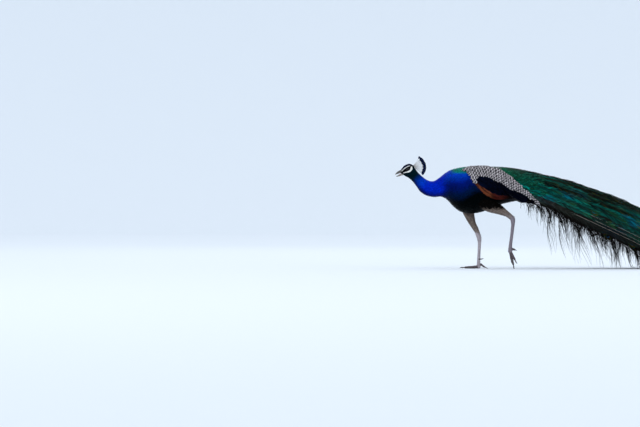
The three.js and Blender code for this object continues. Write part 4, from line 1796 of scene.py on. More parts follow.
@dataclass
class Wings:
    """Both folded wings: barred scapulars, dark coverts and secondaries, chestnut primaries.

    Attributes:
        pied: The barred scapulars.
        lesser: The small dark feathers at the front of the dark field.
        coverts: The larger dark feathers.
        buff: The ground colour of the barred feathers.
        bar: The colour of their bars.
        period: The spacing of the bars along a feather, in millimetres.
        lane: The length of one bar across the feather, in millimetres.
        spine: The line the bars stand square to, as X and Z along the wing.
        black: The ground colour of the dark feathers.
        sheen: The colour of their edges.
        chestnut_tones: The colours of the primaries at the front and at the rear.
        chestnut_light: How light they are, from 0 to 1, as X and the share.
        umber: The colour of their inner vanes.
    """

    pied: FeatherField = FeatherField(
        (
            (-74, 466), (-56, 476), (-30, 488), (40, 494), (78, 474), (108, 456), (135, 438),
            (162, 415), (190, 391), (217, 366), (246, 342), (292, 298), (280, 294), (254, 320),
            (222, 345), (182, 365), (148, 382), (110, 405), (90, 416), (64, 429), (34, 439),
            (-12, 440), (-12, 416), (-18, 404), (-24, 414), (-26, 430), (-34, 446), (-50, 460),
        ),
        9.5, 34.0, 9.5, (-3.0, 1.2), 19, 7, 41,
    )
    lesser: FeatherField = FeatherField(
        ((-36, 446), (0, 440), (50, 428), (60, 404), (30, 384), (-2, 410), (-24, 432)),
        10.0, 34.0, 9.0, (-4.0, -0.6), 7, 5, 42,
    )
    coverts: FeatherField = FeatherField(
        (
            (20, 434), (90, 412), (137, 380), (180, 366), (200, 350), (150, 336), (126, 345),
            (78, 356), (42, 376), (20, 392),
        ),
        13.0, 52.0, 12.0, (-4.5, -1.2), 8, 7, 43,
    )
    buff: str = "#cfc8cb"
    bar: str = "#0a0809"
    period: float = 12.8
    lane: float = 11.0
    spine: Outline = ((-110, 470), (-40, 462), (40, 448), (110, 415), (190, 372), (300, 290))
    black: str = "#020308"
    sheen: str = "#07132f"
    chestnut_tones: tuple[str, str] = ("#8a4a30", "#7a2f28")
    chestnut_light: Outline = (
        (-25, 0.3), (-5, 0.4), (12, 0.8), (50, 0.8), (62, 0.25), (75, 0.45), (105, 0.35), (140, 0),
    )
    umber: str = "#140b0a"

    def build(self) -> None:
        """Grows the feathers of both wings."""
        nodes = (*WING_NODES, "trunk", "rump", "train_saddle", "train_left", "train_right")
        sheet = wrapped_sheet(nodes, WING_FORM, 120, 96, (1.6, 1.0))
        self.build_primaries(sheet)
        self.build_dark(sheet)
        self.build_pied(sheet)

    @staticmethod
    def heading(points: Array) -> Array:
        """Gives the direction in which the wing's feathers lie."""
        x = points[..., 0] / MM
        angle = np.radians(np.interp(x, [-80, -20, 50, 120, 280], [-2, -14, -30, -40, -46]))
        return np.stack([np.cos(angle), 0 * angle, np.sin(angle)], -1)

    def rooted(self, sheet: Sheet, spec: FeatherField) -> tuple[Array, Array, Random]:
        """Sets the roots of a field on the left wing.

        Args:
            sheet: The outside of the wings.
            spec: The field.

        Returns:
            Both parameters of each root, and the generator for the field's disorder.
        """
        a, b, _ = tract(sheet, lambda _: spec.gap * MM, (0.01, 0.99), spec.seed, (0.5, 1.0))
        points = sheet.point(a, b) / MM
        # A feather is seen mostly at its tip, so the field's outline applies there.
        tips = points + self.heading(sheet.point(a, b)) * spec.length * 0.7
        keep = inside_outline(tips, spec.outline) & (points[:, 1] < -4)
        return a[keep], b[keep], np.random.default_rng(spec.seed)

    def grow(
        self,
        coat: Plumage,
        sheet: Sheet,
        spec: FeatherField,
        paint: Callable[[Array, Array, Array, Random], Array],
    ) -> None:
        """Grows a field of feathers on both wings.

        Args:
            coat: Where they are collected.
            sheet: The outside of the wings.
            spec: The field.
            paint: Colours every point from its place across and along the feather.
        """
        a, b, rng = self.rooted(sheet, spec)
        root = sheet.point(a, b)
        size = np.interp(root[:, 0] / MM, [-60, -20, 120, 270], [0.75, 1.0, 1.0, 0.6])
        length = spec.length * MM * size * rng.uniform(0.92, 1.08, len(a))
        path_a, path_b = sheet.trace(a, b, self.heading, length / (spec.rows - 1), spec.rows)
        t = np.linspace(0, 1, spec.rows)
        low, high = spec.heights
        lift = rng.uniform(-0.3, 0.5, len(a))[:, None]
        height = (low + (high - low) * t**0.8 + lift * t**2) * MM
        centre = sheet.point(path_a, path_b, height)
        up = sheet.normal(path_a, path_b)
        shape = np.interp(t, [0, 0.2, 0.55, 0.8, 0.93, 1], [0.4, 0.85, 1.0, 0.9, 0.62, 0.2])
        width = spec.half * MM * shape * (size * rng.uniform(0.95, 1.05, len(a)))[:, None]
        u = np.linspace(-1, 1, spec.columns)
        tint = paint(u, t, centre, rng)
        patch = np.stack([a * 0.9, b * 0.9 - 0.45], 1)
        self.add_both(coat, centre, up, width, patch, tint, spec.columns)

    @staticmethod
    def add_both(
        coat: Plumage,
        centre: Array,
        up: Array,
        width: Array,
        patch: Array,
        tint: Array,
        columns: int,
        camber: float = 0.16,
        sweep: float = 0.22,
    ) -> None:
        """Adds the feathers of the left wing and their mirror images on the right."""
        flip = np.array([1.0, -1.0, 1.0])
        coat.add_vanes(centre, up, width, patch, tint, columns, camber, sweep)
        other = patch * np.array([1.0, -1.0]) + np.array([0.0, 0.96])
        centre, up, tint = centre * flip, up * flip, tint[:, :, ::-1]
        coat.add_vanes(centre, up, width, other, tint, columns, camber, sweep)

    def barred(self, u: Array, t: Array, centre: Array, rng: Random) -> Array:
        """Paints dark wavy bars on a buff ground, broken into short dashes, darker towards the root
        as painted shade.
        """
        count = len(centre)
        line = spline(np.array(self.spine), np.linspace(0, 1, 240))
        reach = np.concatenate([[0], np.cumsum(np.linalg.norm(np.diff(line, axis=0), axis=1))])
        apart = centre[:, :, None, [0, 2]] / MM - line
        near = (apart**2).sum(-1).argmin(-1)
        run = unit(np.gradient(line, axis=0))[near]
        apart = np.take_along_axis(apart, near[..., None, None], 2)[:, :, 0]
        along = reach[near] + (apart * run).sum(-1)
        aside = apart[..., 1] * run[..., 0] - apart[..., 0] * run[..., 1]
        # Neighbouring bars are half a step apart, like bricks in a wall.
        lane = (aside[..., None] + self.pied.half * u) / self.lane
        lane = lane + rng.normal(0, 0.1, (count, 1, 1))
        phase = along[..., None] / self.period + 0.5 * (np.floor(lane) % 2)
        phase = phase + rng.normal(0, 0.06, (count, 1, 1)) + 0.12 * np.abs(lane % 1 - 0.5)
        dark = smooth_step(-0.35, 0.05, np.cos(math.tau * phase) + 0.3)
        dark = np.clip(dark + rng.normal(0, 0.06, (count, 1, 1)), 0, 1)
        ground = tone(self.buff) * rng.uniform(0.85, 1.1, (count, 1, 1, 1))
        tint = painted(ground, self.bar, 0.97 * dark)
        # Each feather darkens towards its root: painted shade under the feathers above.
        return tint * np.interp(t, [0, 0.4], [0.5, 1.0])[:, None, None]

    def dark(self, u: Array, _: Array, centre: Array, rng: Random) -> Array:
        """Paints glossy blue-black with a faint blue edge."""
        share = smooth_step(0.55, 1.0, np.abs(u)) * 0.5
        share = share + rng.uniform(0, 0.35, (len(centre), 1, 1))
        share = share * np.interp(centre[..., 0] / MM, [20, 130], [1.0, 0.35])[..., None]
        return painted(tone(self.black), self.sheen, np.clip(share, 0, 1))

    def build_pied(self, sheet: Sheet) -> None:
        """Grows the barred scapulars and small coverts."""
        coat = Plumage("scapulars", "plumage_pied", [n for n in WING_NODES if "scap" in n])
        self.grow(coat, sheet, self.pied, self.barred)
        coat.finish(FeatherFinish("matt_barred_feathers", 0.75, 0.0, 18).material())

    def build_dark(self, sheet: Sheet) -> None:
        """Grows the dark coverts and the long secondaries under them."""
        coat = Plumage("dark_coverts", "plumage_wing", [n for n in WING_NODES if "cov" in n])
        rng = np.random.default_rng(44)
        quills = [
            FlightFeather(
                ((30 + 9 * k, 386 - 2 * k), (104 + 8 * k, 342 + k), (168 + 13 * k, 318 - 1.6 * k)),
                13.0,
                -5.5 + 0.45 * k,
            )
            for k in range(9)
        ]
        self.grow_quills(coat, sheet, quills, self.dark, rng)
        self.grow(coat, sheet, self.coverts, self.dark)
        self.grow(coat, sheet, self.lesser, self.dark)
        coat.finish(FeatherFinish("glossy_dark_feathers", 0.4, 0.3, 40).material())

    def build_primaries(self, sheet: Sheet) -> None:
        """Grows the chestnut primaries along the wing's lower edge."""
        coat = Plumage("primaries", "plumage_chestnut", [n for n in WING_NODES if "prim" in n])
        rng = np.random.default_rng(45)
        quills = [
            FlightFeather(
                (
                    (-34 + 3 * k, 414 + 1.2 * k),
                    (2 + 5 * k, 374 + 3.4 * k),
                    (52 + 9 * k, 339 + 3.2 * k),
                    (96 + 11 * k, 322 + 1.8 * k),
                ),
                9.5,
                -4.0 + 0.4 * k,
            )
            for k in range(6)
        ]
        self.grow_quills(coat, sheet, quills, self.chestnut, rng)
        coat.finish(FeatherFinish("satin_chestnut_feathers", 0.55, 0.0, 60).material())

    def chestnut(self, u: Array, _: Array, centre: Array, rng: Random) -> Array:
        """Paints chestnut that darkens to the rear and on the inner vane."""
        x = centre[..., 0] / MM
        light = np.interp(x, *np.array(self.chestnut_light).T)
        base = painted(tone(self.chestnut_tones[0]), self.chestnut_tones[1], smooth_step(50, 75, x))
        base = base[:, :, None] * rng.uniform(0.4, 1.05, (len(centre), 1, 1, 1))
        return painted(base * light[..., None, None], self.umber, 0.55 * (u > 0.25))

    def grow_quills(
        self,
        coat: Plumage,
        sheet: Sheet,
        quills: Sequence[FlightFeather],
        paint: Callable[[Array, Array, Array, Random], Array],
        rng: Random,
    ) -> None:
        """Grows long feathers along given paths on both wings, each with its shaft.

        Args:
            coat: Where they are collected.
            sheet: The outside of the wings.
            quills: The feathers.
            paint: Colours every point from its place across and along the feather.
            rng: The generator of the slight disorder.
        """
        t = np.linspace(0, 1, 22)
        shape = np.interp(t, [0, 0.15, 0.5, 0.85, 0.95, 1], [0.5, 0.85, 1, 0.8, 0.5, 0.12])
        shaft = tone("#2a1a12")[None, None, None]
        for number, quill in enumerate(quills):
            places = spline(np.array(quill.path), t)
            a, b = self.located(sheet, places)
            height = quill.height + 2.0 * (t - 1)
            centre = sheet.point(a, b, height * MM)[None]
            up = sheet.normal(a, b)[None]
            width = quill.half * MM * shape
            u = np.linspace(-1, 1, 9)
            tint = paint(u, t, centre, rng)
            patch = np.array([[0.05 + 0.09 * (number % 10), 0.02]])
            self.add_both(coat, centre, up, width, patch, tint, 9, 0.12, 0.35)
            stem = np.interp(t, [0, 1], [0.9, 0.25]) * MM
            self.add_both(coat, centre + up * 0.5 * MM, up, stem, patch, shaft, 3, 0.9, 0.0)

    @staticmethod
    def located(sheet: Sheet, places: Array) -> tuple[Array, Array]:
        """Finds the parameters of points on the left wing from their X and Z in millimetres."""
        centres = sheet.grid.mean(1)[:, 0]
        a = np.interp(places[:, 0] * MM, centres, np.linspace(0, 1, len(centres)))
        steps = 181
        sweep = np.linspace(0.55, 1.0, steps)
        ring = sheet.point(np.repeat(a[:, None], steps, 1), np.tile(sweep, (len(a), 1)))
        return a, sweep[np.abs(ring[..., 2] - places[:, 1:] * MM).argmin(1)]


# ---- Train ----

TRAIN_SECTIONS = (
    (34, 483, 476, 30),
    (84, 484, 420, 80),
    (150, 479, 352, 99),
    (220, 468, 308, 110),
    (300, 450, 288, 117),
    (400, 427, 243, 125),
    (540, 383, 177, 142),
    (650, 344, 124, 155),
    (770, 289, 66, 169),
    (910, 222, 1, 188),
    (1060, 148, -6, 208),
    (1200, 82, -4, 222),
    (1310, 40, 3, 228),
    (1430, 20, 6, 224),
    (1570, 9, 6, 200),
)
TRAIN_NODES = ("train_saddle", "train_middle", "train_left", "train_right")


@dataclass(frozen=True)
class Arch:
    """The folded train's form: an arch that sinks and widens to the floor.

    Attributes:
        skirt: How far the surface goes on past each lower edge, in millimetres.
        reach: How far across the surface goes, where 1 is the train's edge.
        pile: How thick the plumes lie over the form that the sections give, in millimetres.
        end: X of the middle of the rounded end.
        end_length: How far the end reaches past it.
        rows: How many rows of points the surface has.
        columns: How many points each row has.
    """

    skirt: float = 60.0
    reach: float = 1.25
    pile: float = 7.5
    end: float = 1330.0
    end_length: float = 190.0
    rows: int = 240
    columns: int = 97

    def sheet(self, inset: float = 0.0) -> Sheet:
        """Makes the surface.

        Args:
            inset: How far inside the train's outer surface it lies, in millimetres.

        Returns:
            The surface, from the rump to past the train's end and from left to right.
        """
        table = np.array(TRAIN_SECTIONS, float)
        x = np.linspace(table[0, 0], table[-1, 0], self.rows)
        crown, edge, half = (self.smooth_column(table, k, x) for k in (1, 2, 3))
        share = np.linspace(-self.reach, self.reach, self.columns)
        turn = np.clip(share, -1, 1) * math.pi / 2
        past = np.maximum(np.abs(share) - 1, 0) / (self.reach - 1) * self.skirt
        tall = (crown - self.pile - edge)[:, None]
        wide = half[:, None]
        out = unit(np.stack([tall * np.sin(turn), wide * np.cos(turn)], -1))
        y = wide * np.sin(turn) + out[..., 0] * (self.pile - inset)
        z = edge[:, None] + tall * np.cos(turn) + out[..., 1] * (self.pile - inset)
        hanging = smooth_step(0, 70, edge)[:, None]
        z = z - past * hanging
        y = y + np.sign(share) * past * (1 - hanging) * 0.25
        z = np.maximum(z, 2.5)
        grid = np.stack([np.broadcast_to(x[:, None], y.shape), y, z], -1) * MM
        inner = np.stack([x, 0 * x, np.minimum(edge, crown - 40)], -1) * MM
        return Sheet(grid, False, inner)

    @staticmethod
    def smooth_column(table: Array, column: int, x: Array) -> Array:
        """Reads one column of the sections along X with a smooth curve."""
        knots = np.interp(x, table[:, 0], np.linspace(0, 1, len(table)))
        smooth = spline(table[:, column], knots)[:, 0]
        return blurred(smooth, 0, 2.5, False)

    def place(self, a: Array) -> Array:
        """Gives X in millimetres for the first parameter."""
        first, last = TRAIN_SECTIONS[0][0], TRAIN_SECTIONS[-1][0]
        return first + np.asarray(a) * (last - first)

    def parameter(self, x: Array) -> Array:
        """Gives the first parameter for X in millimetres."""
        first, last = TRAIN_SECTIONS[0][0], TRAIN_SECTIONS[-1][0]
        return (np.asarray(x, float) - first) / (last - first)

    def end_at(self, share: Array) -> Array:
        """Gives X of the train's end for a place across it, from -1 to 1."""
        ratio = np.clip(np.abs(np.sin(share * math.pi / 2)) * 0.97, 0, 0.995)
        return self.end + self.end_length * np.sqrt(1 - ratio**2)

    def across(self, share: Array) -> Array:
        """Gives the second parameter for a place across the train, from -1 to 1."""
        return (np.asarray(share) / self.reach + 1) / 2


@dataclass
class PlumeSet:
    """Feathers of the train that share one layout, as arrays with one row to a feather.

    Attributes:
        tip: X of each tip, in millimetres.
        share: The place across the train, from -1 to 1.
        length: The length that is built, in millimetres.
        barb: The length of the barbs, in millimetres.
        eye: The radius of the eye spot, in millimetres, or 0.
    """

    tip: Array
    share: Array
    length: Array
    barb: Array
    eye: Array

    def beyond(self, x: float) -> "PlumeSet":
        """Picks the plumes whose tips lie past a place along the train."""
        keep = self.tip > x
        parts = (self.tip, self.share, self.length, self.barb, self.eye)
        return PlumeSet(*(part[keep] for part in parts))


class Plume(Enum):
    """The kinds of feather in the train."""

    EYE = "eye"
    FISHTAIL = "fishtail"
    SWORD = "sword"


# The rings of an eye spot: the radius, as a share of the spot's, and the colour there.
EYE_RINGS = (
    (0.0, "#08062c"), (0.13, "#08062c"), (0.26, "#0c083c"), (0.32, "#08498c"),
    (0.44, "#0a6a9c"), (0.54, "#0a6f74"), (0.6, "#553a16"), (0.74, "#4c3012"),
    (0.86, "#553c16"), (0.93, "#45581e"), (1.0, "#2a5226"), (1.12, "#134428"),
)


@dataclass
class Shafts:
    """The shafts of one kind of plume as they lie on the train.

    Attributes:
        t: Places along a shaft, from 0 to 1.
        a: The first parameter of the surface at each place.
        b: The second one.
        height: The height over the surface at each place, in metres.
        slope: How many metres one unit of the first parameter is.
        across: How many metres one unit of the second is.
        patch: The low corner of each plume's patch on the baking map.
    """

    t: Array
    a: Array
    b: Array
    height: Array
    slope: Array
    across: Array
    patch: Array


@dataclass(frozen=True)
class TrainTones:
    """The colours of the train's barbs.

    Attributes:
        green: The darkest and the brightest green.
        teal: The blue shimmer in patches along the flank.
        crown_shade: The near-black crown of the train, painted shade.
        gold: The flecks on the crown.
        root: The barbs where they leave the shaft.
        grey: The band over the lower edge.
        brown: The lower edge, at the front and at the rear.
        halo: The barbs round an eye spot.
    """

    green: tuple[str, str] = ("#02302c", "#028678")
    teal: str = "#045c86"
    crown_shade: str = "#0a0d08"
    gold: str = "#5c5524"
    root: str = "#0d0905"
    grey: str = "#24302c"
    brown: tuple[str, str] = ("#2e2a26", "#1a1718")
    halo: str = "#2c5a26"


@dataclass
class Train:
    """The train: scaled saddle, eye-spot plumes, fishtail plumes and the lining under them.

    Attributes:
        arch: The train's form.
        first_row: X of the first row of eye spots.
        row_gap: The spacing of the rows.
        per_row: How many plumes lie in a row.
        stations: The spacing of barbs along a shaft, in millimetres.
        points: How many points lie along a barb.
        full_grown: How far behind the first row the plumes reach their full size.
        first_spot: X past which eye spots show, in millimetres.
        fishtails: How many plumes without a spot end at the train's edge.
        swords: The long plumes along each side: X of the tip, place across and length.
        tones: The colours of the barbs.
        stem_half: Half of a shaft's width at its root, in millimetres.
        stem_tone: The colour of the shafts.
    """

    arch: Arch = field(default_factory=Arch)
    first_row: float = 300.0
    row_gap: float = 66.0
    per_row: int = 9
    stations: float = 2.6
    points: int = 5
    full_grown: float = 1200.0
    first_spot: float = 520.0
    fishtails: int = 22
    swords: tuple[tuple[float, float, float], ...] = (
        (905, 0.90, 475), (1010, 0.80, 510), (960, 0.86, 420),
        (1380, 0.90, 520), (1415, 0.80, 560), (1400, 0.86, 500),
    )
    tones: TrainTones = TrainTones()
    stem_half: dict[Plume, float] = field(
        default_factory=lambda: {Plume.EYE: 1.0, Plume.FISHTAIL: 1.0, Plume.SWORD: 0.75}
    )
    stem_tone: dict[Plume, str] = field(
        default_factory=lambda: {
            Plume.EYE: "#2c2820", Plume.FISHTAIL: "#2c2820", Plume.SWORD: "#c3b7ac"
        }
    )

    def build(self, cover: BVHTree) -> None:
        """Builds the whole train.

        Args:
            cover: The wings, which hide the sides of the saddle.
        """
        sheet = self.arch.sheet()
        self.build_lining()
        self.build_plumes(sheet)
        self.build_saddle(sheet, cover)

    def build_lining(self) -> None:
        """Makes the dull inner layer of the train, a thin closed shell, dark as painted shade under
        the plumes.
        """
        outer, inner = self.arch.sheet(8.0).grid, self.arch.sheet(12.5).grid
        low, high = 12, self.arch.columns - 12
        reach = self.arch.reach
        share = np.linspace(-reach, reach, self.arch.columns)[low:high]
        last = self.arch.parameter(self.arch.end_at(share) - 14.0)
        first = self.arch.parameter(190.0)
        rows = 120
        a = first + np.linspace(0, 1, rows)[:, None] * (last - first)
        b = np.broadcast_to(self.arch.across(share), a.shape)
        top = Sheet(outer, False, outer.mean(1)).read(outer, a, b)
        under = Sheet(inner, False, inner.mean(1)).read(inner, a, b)
        top[..., 2] = np.maximum(top[..., 2], 3.4 * MM)
        under[..., 2] = np.maximum(under[..., 2], 0.6 * MM)
        work = bmesh.new()
        for layer in (top, under):
            grid = [[work.verts.new(p) for p in row] for row in layer]
            for near, far in zip(grid, grid[1:]):
                for corners in zip(near, near[1:], far[1:], far):
                    work.faces.new(corners)
        rims = [e for e in work.edges if e.is_boundary]
        bmesh.ops.bridge_loops(work, edges=rims)
        bmesh.ops.recalc_face_normals(work, faces=work.faces)
        mesh = mesh_from(work, "train_lining")
        piece = shown(mesh, LiningFinish().material())
        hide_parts(*TRAIN_NODES)

    def plume_sets(self) -> dict[Plume, PlumeSet]:
        """Lays out the plumes of each kind."""
        rng = np.random.default_rng(51)
        tips, shares = [], []
        rows = int((self.arch.end + self.arch.end_length - self.first_row) / self.row_gap) + 1
        for k in range(rows):
            x = self.first_row + self.row_gap * k
            for n in range(self.per_row):
                share = -0.97 + 1.94 * (n + 0.5 * (k % 2) + 0.25) / self.per_row
                share = share + rng.normal(0, 0.022)
                tip = x + rng.normal(0, 9) + 10 * abs(share)
                if abs(share) < 0.985 and tip < self.arch.end_at(np.array(share)) - 36:
                    tips.append(tip)
                    shares.append(share)
        tip, share = np.array(tips), np.array(shares)
        grown = (tip - self.first_row) / self.full_grown
        eyes = PlumeSet(
            tip,
            share,
            np.full(len(tip), 230.0) + 60 * grown,
            np.interp(grown, [0, 0.3, 1], [26, 36, 42]),
            np.interp(grown, [0, 0.25, 1], [12.5, 18.5, 23.0]) * rng.uniform(0.92, 1.08, len(tip)),
        )
        count = self.fishtails
        share = np.linspace(-0.93, 0.93, count) + rng.normal(0, 0.008, count)
        tip = self.arch.end_at(share) - rng.uniform(0, 14, count)
        fish = PlumeSet(tip, share, np.full(count, 210.0), np.full(count, 40.0), np.zeros(count))
        tip, share, length = np.tile(np.array(self.swords), (2, 1)).T
        share = share * np.repeat([-1.0, 1.0], len(self.swords))
        sword = PlumeSet(tip, share, length, np.full(len(tip), 26.0), np.zeros(len(tip)))
        return {Plume.EYE: eyes, Plume.FISHTAIL: fish, Plume.SWORD: sword}

    def build_plumes(self, sheet: Sheet) -> None:
        """Grows all plumes: barbs, shafts and eye spots."""
        barbs = Plumage("train_barbs", "plumage_train")
        shafts = Plumage("train_shafts", "plumage_train")
        spots = Plumage("train_eyes", "plumage_train")
        for number, (kind, plumes) in enumerate(self.plume_sets().items()):
            rng = np.random.default_rng(52 + number)
            self.grow_barbs(barbs, shafts, sheet, kind, plumes, rng)
            if kind is Plume.EYE:
                self.grow_spots(spots, sheet, plumes.beyond(self.first_spot), rng)
        barbs.finish(FeatherFinish("loose_train_barbs", 0.55, 0.2, 6, 0.1).material())
        shafts.finish(FeatherFinish("pale_quills", 0.5, 0.0, 4, 0.1).material())
        spots.finish(FeatherFinish("glossy_eye_spots", 0.5, 0.25, 46, 0.3).material())

    def grow_barbs(
        self,
        barbs: Plumage,
        shafts: Plumage,
        sheet: Sheet,
        kind: Plume,
        plumes: PlumeSet,
        rng: Random,
    ) -> None:
        """Grows the shaft of each plume and the loose barbs on both of its sides.

        Args:
            barbs: Where the barbs are collected.
            shafts: Where the shafts are collected.
            sheet: The train's outer surface.
            kind: The kind of plume.
            plumes: The plumes.
            rng: The generator of the disorder.
        """
        arch = self.arch
        count = len(plumes.tip)
        stations = int(plumes.length.mean() / self.stations)
        t = np.linspace(0, 1, stations)
        x = plumes.tip[:, None] - plumes.length[:, None] * (1 - t)
        x = np.minimum(x, plumes.tip[:, None] - 0.6 * plumes.eye[:, None])
        start_share = plumes.share * np.interp(x[:, 0], [100, 300, 1500], [0.8, 0.97, 0.99])
        share = start_share[:, None] + (plumes.share - start_share)[:, None] * t
        a, b = arch.parameter(x), arch.across(share)
        depth = 8.0 * (1 - t) ** 1.1 + 0.6
        if kind is Plume.SWORD:
            depth = depth * 0.4 + 0.2
        height = -depth * MM
        centre = sheet.point(a, b, height)
        up = sheet.normal(a, b)
        patch = np.stack([np.clip(a[:, -1], 0, 1) * 0.95, b[:, -1] * 0.95], 1)
        stem = self.stem_half[kind] * np.interp(t, [0, 0.9, 1], [1.0, 0.45, 0.3]) * MM
        shade = tone(self.stem_tone[kind]) * rng.uniform(0.7, 1.15, (count, 1, 1))
        pick = slice(None, None, 6)
        place = (centre + up * 0.5 * MM)[:, pick]
        shafts.add_vanes(place, up[:, pick], stem[pick], patch, shade, 3, 0.9, 0.0)
        laid = Shafts(t, a, b, height, *sheet.stretch(a, b), patch)
        for side in (-1.0, 1.0):
            # The barbs of a sword feather grow on its outer side only.
            rows = np.flatnonzero((np.sign(plumes.share) == side) | (kind is not Plume.SWORD))
            self.grow_side(barbs, sheet, kind, plumes, laid, rows, side, rng)

    def grow_side(
        self,
        barbs: Plumage,
        sheet: Sheet,
        kind: Plume,
        plumes: PlumeSet,
        laid: Shafts,
        rows: Array,
        side: float,
        rng: Random,
    ) -> None:
        """Grows the barbs on one side of the shafts.

        Args:
            barbs: Where the barbs are collected.
            sheet: The train's outer surface.
            kind: The kind of plume.
            plumes: The plumes.
            laid: Their shafts.
            rows: The plumes that have barbs on this side.
            side: -1 or 1.
            rng: The generator of the disorder.
        """
        t, q = laid.t, np.linspace(0, 1, self.points)
        shape = (len(rows), len(t))
        # Neighbouring barbs cling together in wisps that part and cross each other.
        wisp = self.wisps(*shape, rng)
        theta = np.radians(self.opening(kind, t) + 11.0 * wisp + rng.normal(0, 3.5, shape))
        size = np.interp(t, [0, 0.25, 0.8, 1], [0.7, 1.0, 1.0, 0.72])
        span = plumes.barb[rows, None] * size * rng.uniform(0.85, 1.12, shape)
        ahead = span[..., None] * (np.cos(theta)[..., None] * q + 0.16 * q**2)
        aside = span[..., None] * np.sin(theta)[..., None] * (q - 0.28 * q**2)
        a = laid.a[rows][..., None] + ahead * MM / laid.slope[rows][..., None]
        b = laid.b[rows][..., None] + side * aside * MM / laid.across[rows][..., None]
        a, b = np.clip(a, 0, 1), np.clip(b, 0, 1)
        drop = (0.6 + rng.uniform(0, 1.4, (*shape, 1))) * q**1.5
        loose = (rng.uniform(0, 1, (*shape, 1)) > 0.95) * q * 5.0
        path = sheet.point(a, b, laid.height[:, None] + (0.3 + loose - drop) * MM)
        normal = sheet.normal(a, b)
        run = unit(np.gradient(path, axis=2))
        lean = rng.normal(0, 0.45, (*shape, 1, 1))
        flat = unit(unit(np.cross(normal, run)) + normal * lean)
        thin = np.interp(q, [0, 0.5, 1], [0.75, 0.85, 0.3]) * MM
        tint = self.barb_tint(kind, plumes, rows, t, q, path, rng)
        tint = tint * (1 + 0.45 * wisp)[..., None, None]
        spot = np.empty((*shape, self.points, 2))
        spot[..., 0] = 0.5 + side * 0.5 * q * 0.98
        spot[..., 1] = t[None, :, None]
        path, flat, tint = (part.reshape(-1, self.points, 3) for part in (path, flat, tint))
        patch = np.repeat(laid.patch[rows], len(t), 0)
        barbs.add_strands(path, flat, thin, patch, spot.reshape(-1, self.points, 2), tint)

    @staticmethod
    def opening(kind: Plume, t: Array) -> Array:
        """Gives the angle between barbs and shaft along a plume, in degrees."""
        if kind is Plume.FISHTAIL:
            return np.interp(t, [0, 0.6, 1], [46, 44, 52])
        return np.interp(t, [0, 0.7, 1], [46, 38, 20 if kind is Plume.EYE else 30])

    @staticmethod
    def wisps(count: int, stations: int, rng: Random) -> Array:
        """Makes a slow wave along each plume, by which its barbs cling together."""
        place = np.arange(stations)[None, :]
        wave = np.zeros((count, stations))
        for pitch in (7.0, 12.0, 23.0):
            shift = rng.uniform(0, math.tau, (count, 1))
            wave += np.sin(place / (pitch * rng.uniform(0.8, 1.25, (count, 1))) * math.tau + shift)
        return wave / 2.2

    def barb_tint(
        self,
        kind: Plume,
        plumes: PlumeSet,
        rows: Array,
        t: Array,
        q: Array,
        path: Array,
        rng: Random,
    ) -> Array:
        """Colours the barbs from dark bronze at the shaft to green and gold at the ends.

        Args:
            kind: The kind of plume.
            plumes: The plumes.
            rows: The plumes that have barbs on this side.
            t: The place of each barb along the shaft.
            q: The places along a barb.
            path: The barbs' points.
            rng: The generator of the disorder.

        Returns:
            One colour for each point.
        """
        count, stations = path.shape[:2]
        tones = self.tones
        hue = rng.uniform(0, 1, (count, 1, 1))
        crown = np.abs(plumes.share[rows])[:, None, None]
        back = path[..., 0] / MM
        green = painted(tone(tones.green[0]), tones.green[1], hue)
        green = green * np.interp(back, [200, 330, 430, 620], [1.0, 1.15, 1.0, 0.9])[..., None]
        # Blue shimmers in patches along the flank.
        sheen = np.sin(back / 47.0 + 7.0 * crown + 1.5 * hue) * 0.5 + 0.5
        teal = smooth_step(0.7, 1.0, sheen) * smooth_step(0.35, 0.5, crown) * 0.55 * (hue > 0.45)
        green = painted(green, tones.teal, teal)
        # Painted shade darkens the crown, which is flecked with gold, and brown runs along the
        # lower edge.
        top = smooth_step(0.62, 0.42, crown + rng.normal(0, 0.08, (count, 1, 1)))
        top = top * (1 - 0.3 * hue)
        top = top * smooth_step(220, 400, back) + 0.8 * smooth_step(0.2, 0.05, crown)
        tint = painted(green, tones.crown_shade, np.clip(top, 0, 0.93))
        fleck = rng.uniform(0, 1, (count, stations, 1)) > 0.8
        fleck = fleck * np.interp(q, [0, 0.5, 1], [0.1, 0.5, 1]) * np.clip(top, 0, 1) * 0.7
        tint = painted(tint, tones.gold, fleck)
        tint = painted(tint, tones.root, np.interp(q, [0, 0.25, 0.6], [0.75, 0.4, 0.0]))
        edge = np.interp(back, [250, 330, 500], [0.9, 0.86, 0.84])
        dull = smooth_step(-0.05, 0.07, crown - edge) * 0.94
        if kind is Plume.SWORD:
            dull = np.full(path.shape[:3], 0.9)
        brown = painted(tone(tones.brown[0]), tones.brown[1], smooth_step(280, 640, back))
        grey = smooth_step(edge - 0.3, edge, crown) * smooth_step(300, 420, back) * 0.55
        tint = painted(tint, tones.grey, grey * (1 - 0.6 * hue))
        tint = mix(tint, brown, dull)
        if kind is Plume.EYE:
            near = np.interp(t, [0.75, 0.97], [0, 0.4])[:, None] * (1 - top) * (1 - dull)
            tint = painted(tint, tones.halo, np.clip(near, 0, 1))
        return tint * rng.uniform(0.5, 1.4, (count, stations, 1, 1))

    def grow_spots(self, spots: Plumage, sheet: Sheet, plumes: PlumeSet, rng: Random) -> None:
        """Lays an eye spot at the end of each plume, as rings from the pupil outward.

        Args:
            spots: Where they are collected.
            sheet: The train's outer surface.
            plumes: The plumes.
            rng: The generator of the disorder.
        """
        rings = np.array([radius for radius, _ in EYE_RINGS])
        colours = np.array([tone(code) for _, code in EYE_RINGS])[:, None]
        turns = np.linspace(0, math.tau, 21)
        r, turn = rings[None, :, None], turns[None, None, :]
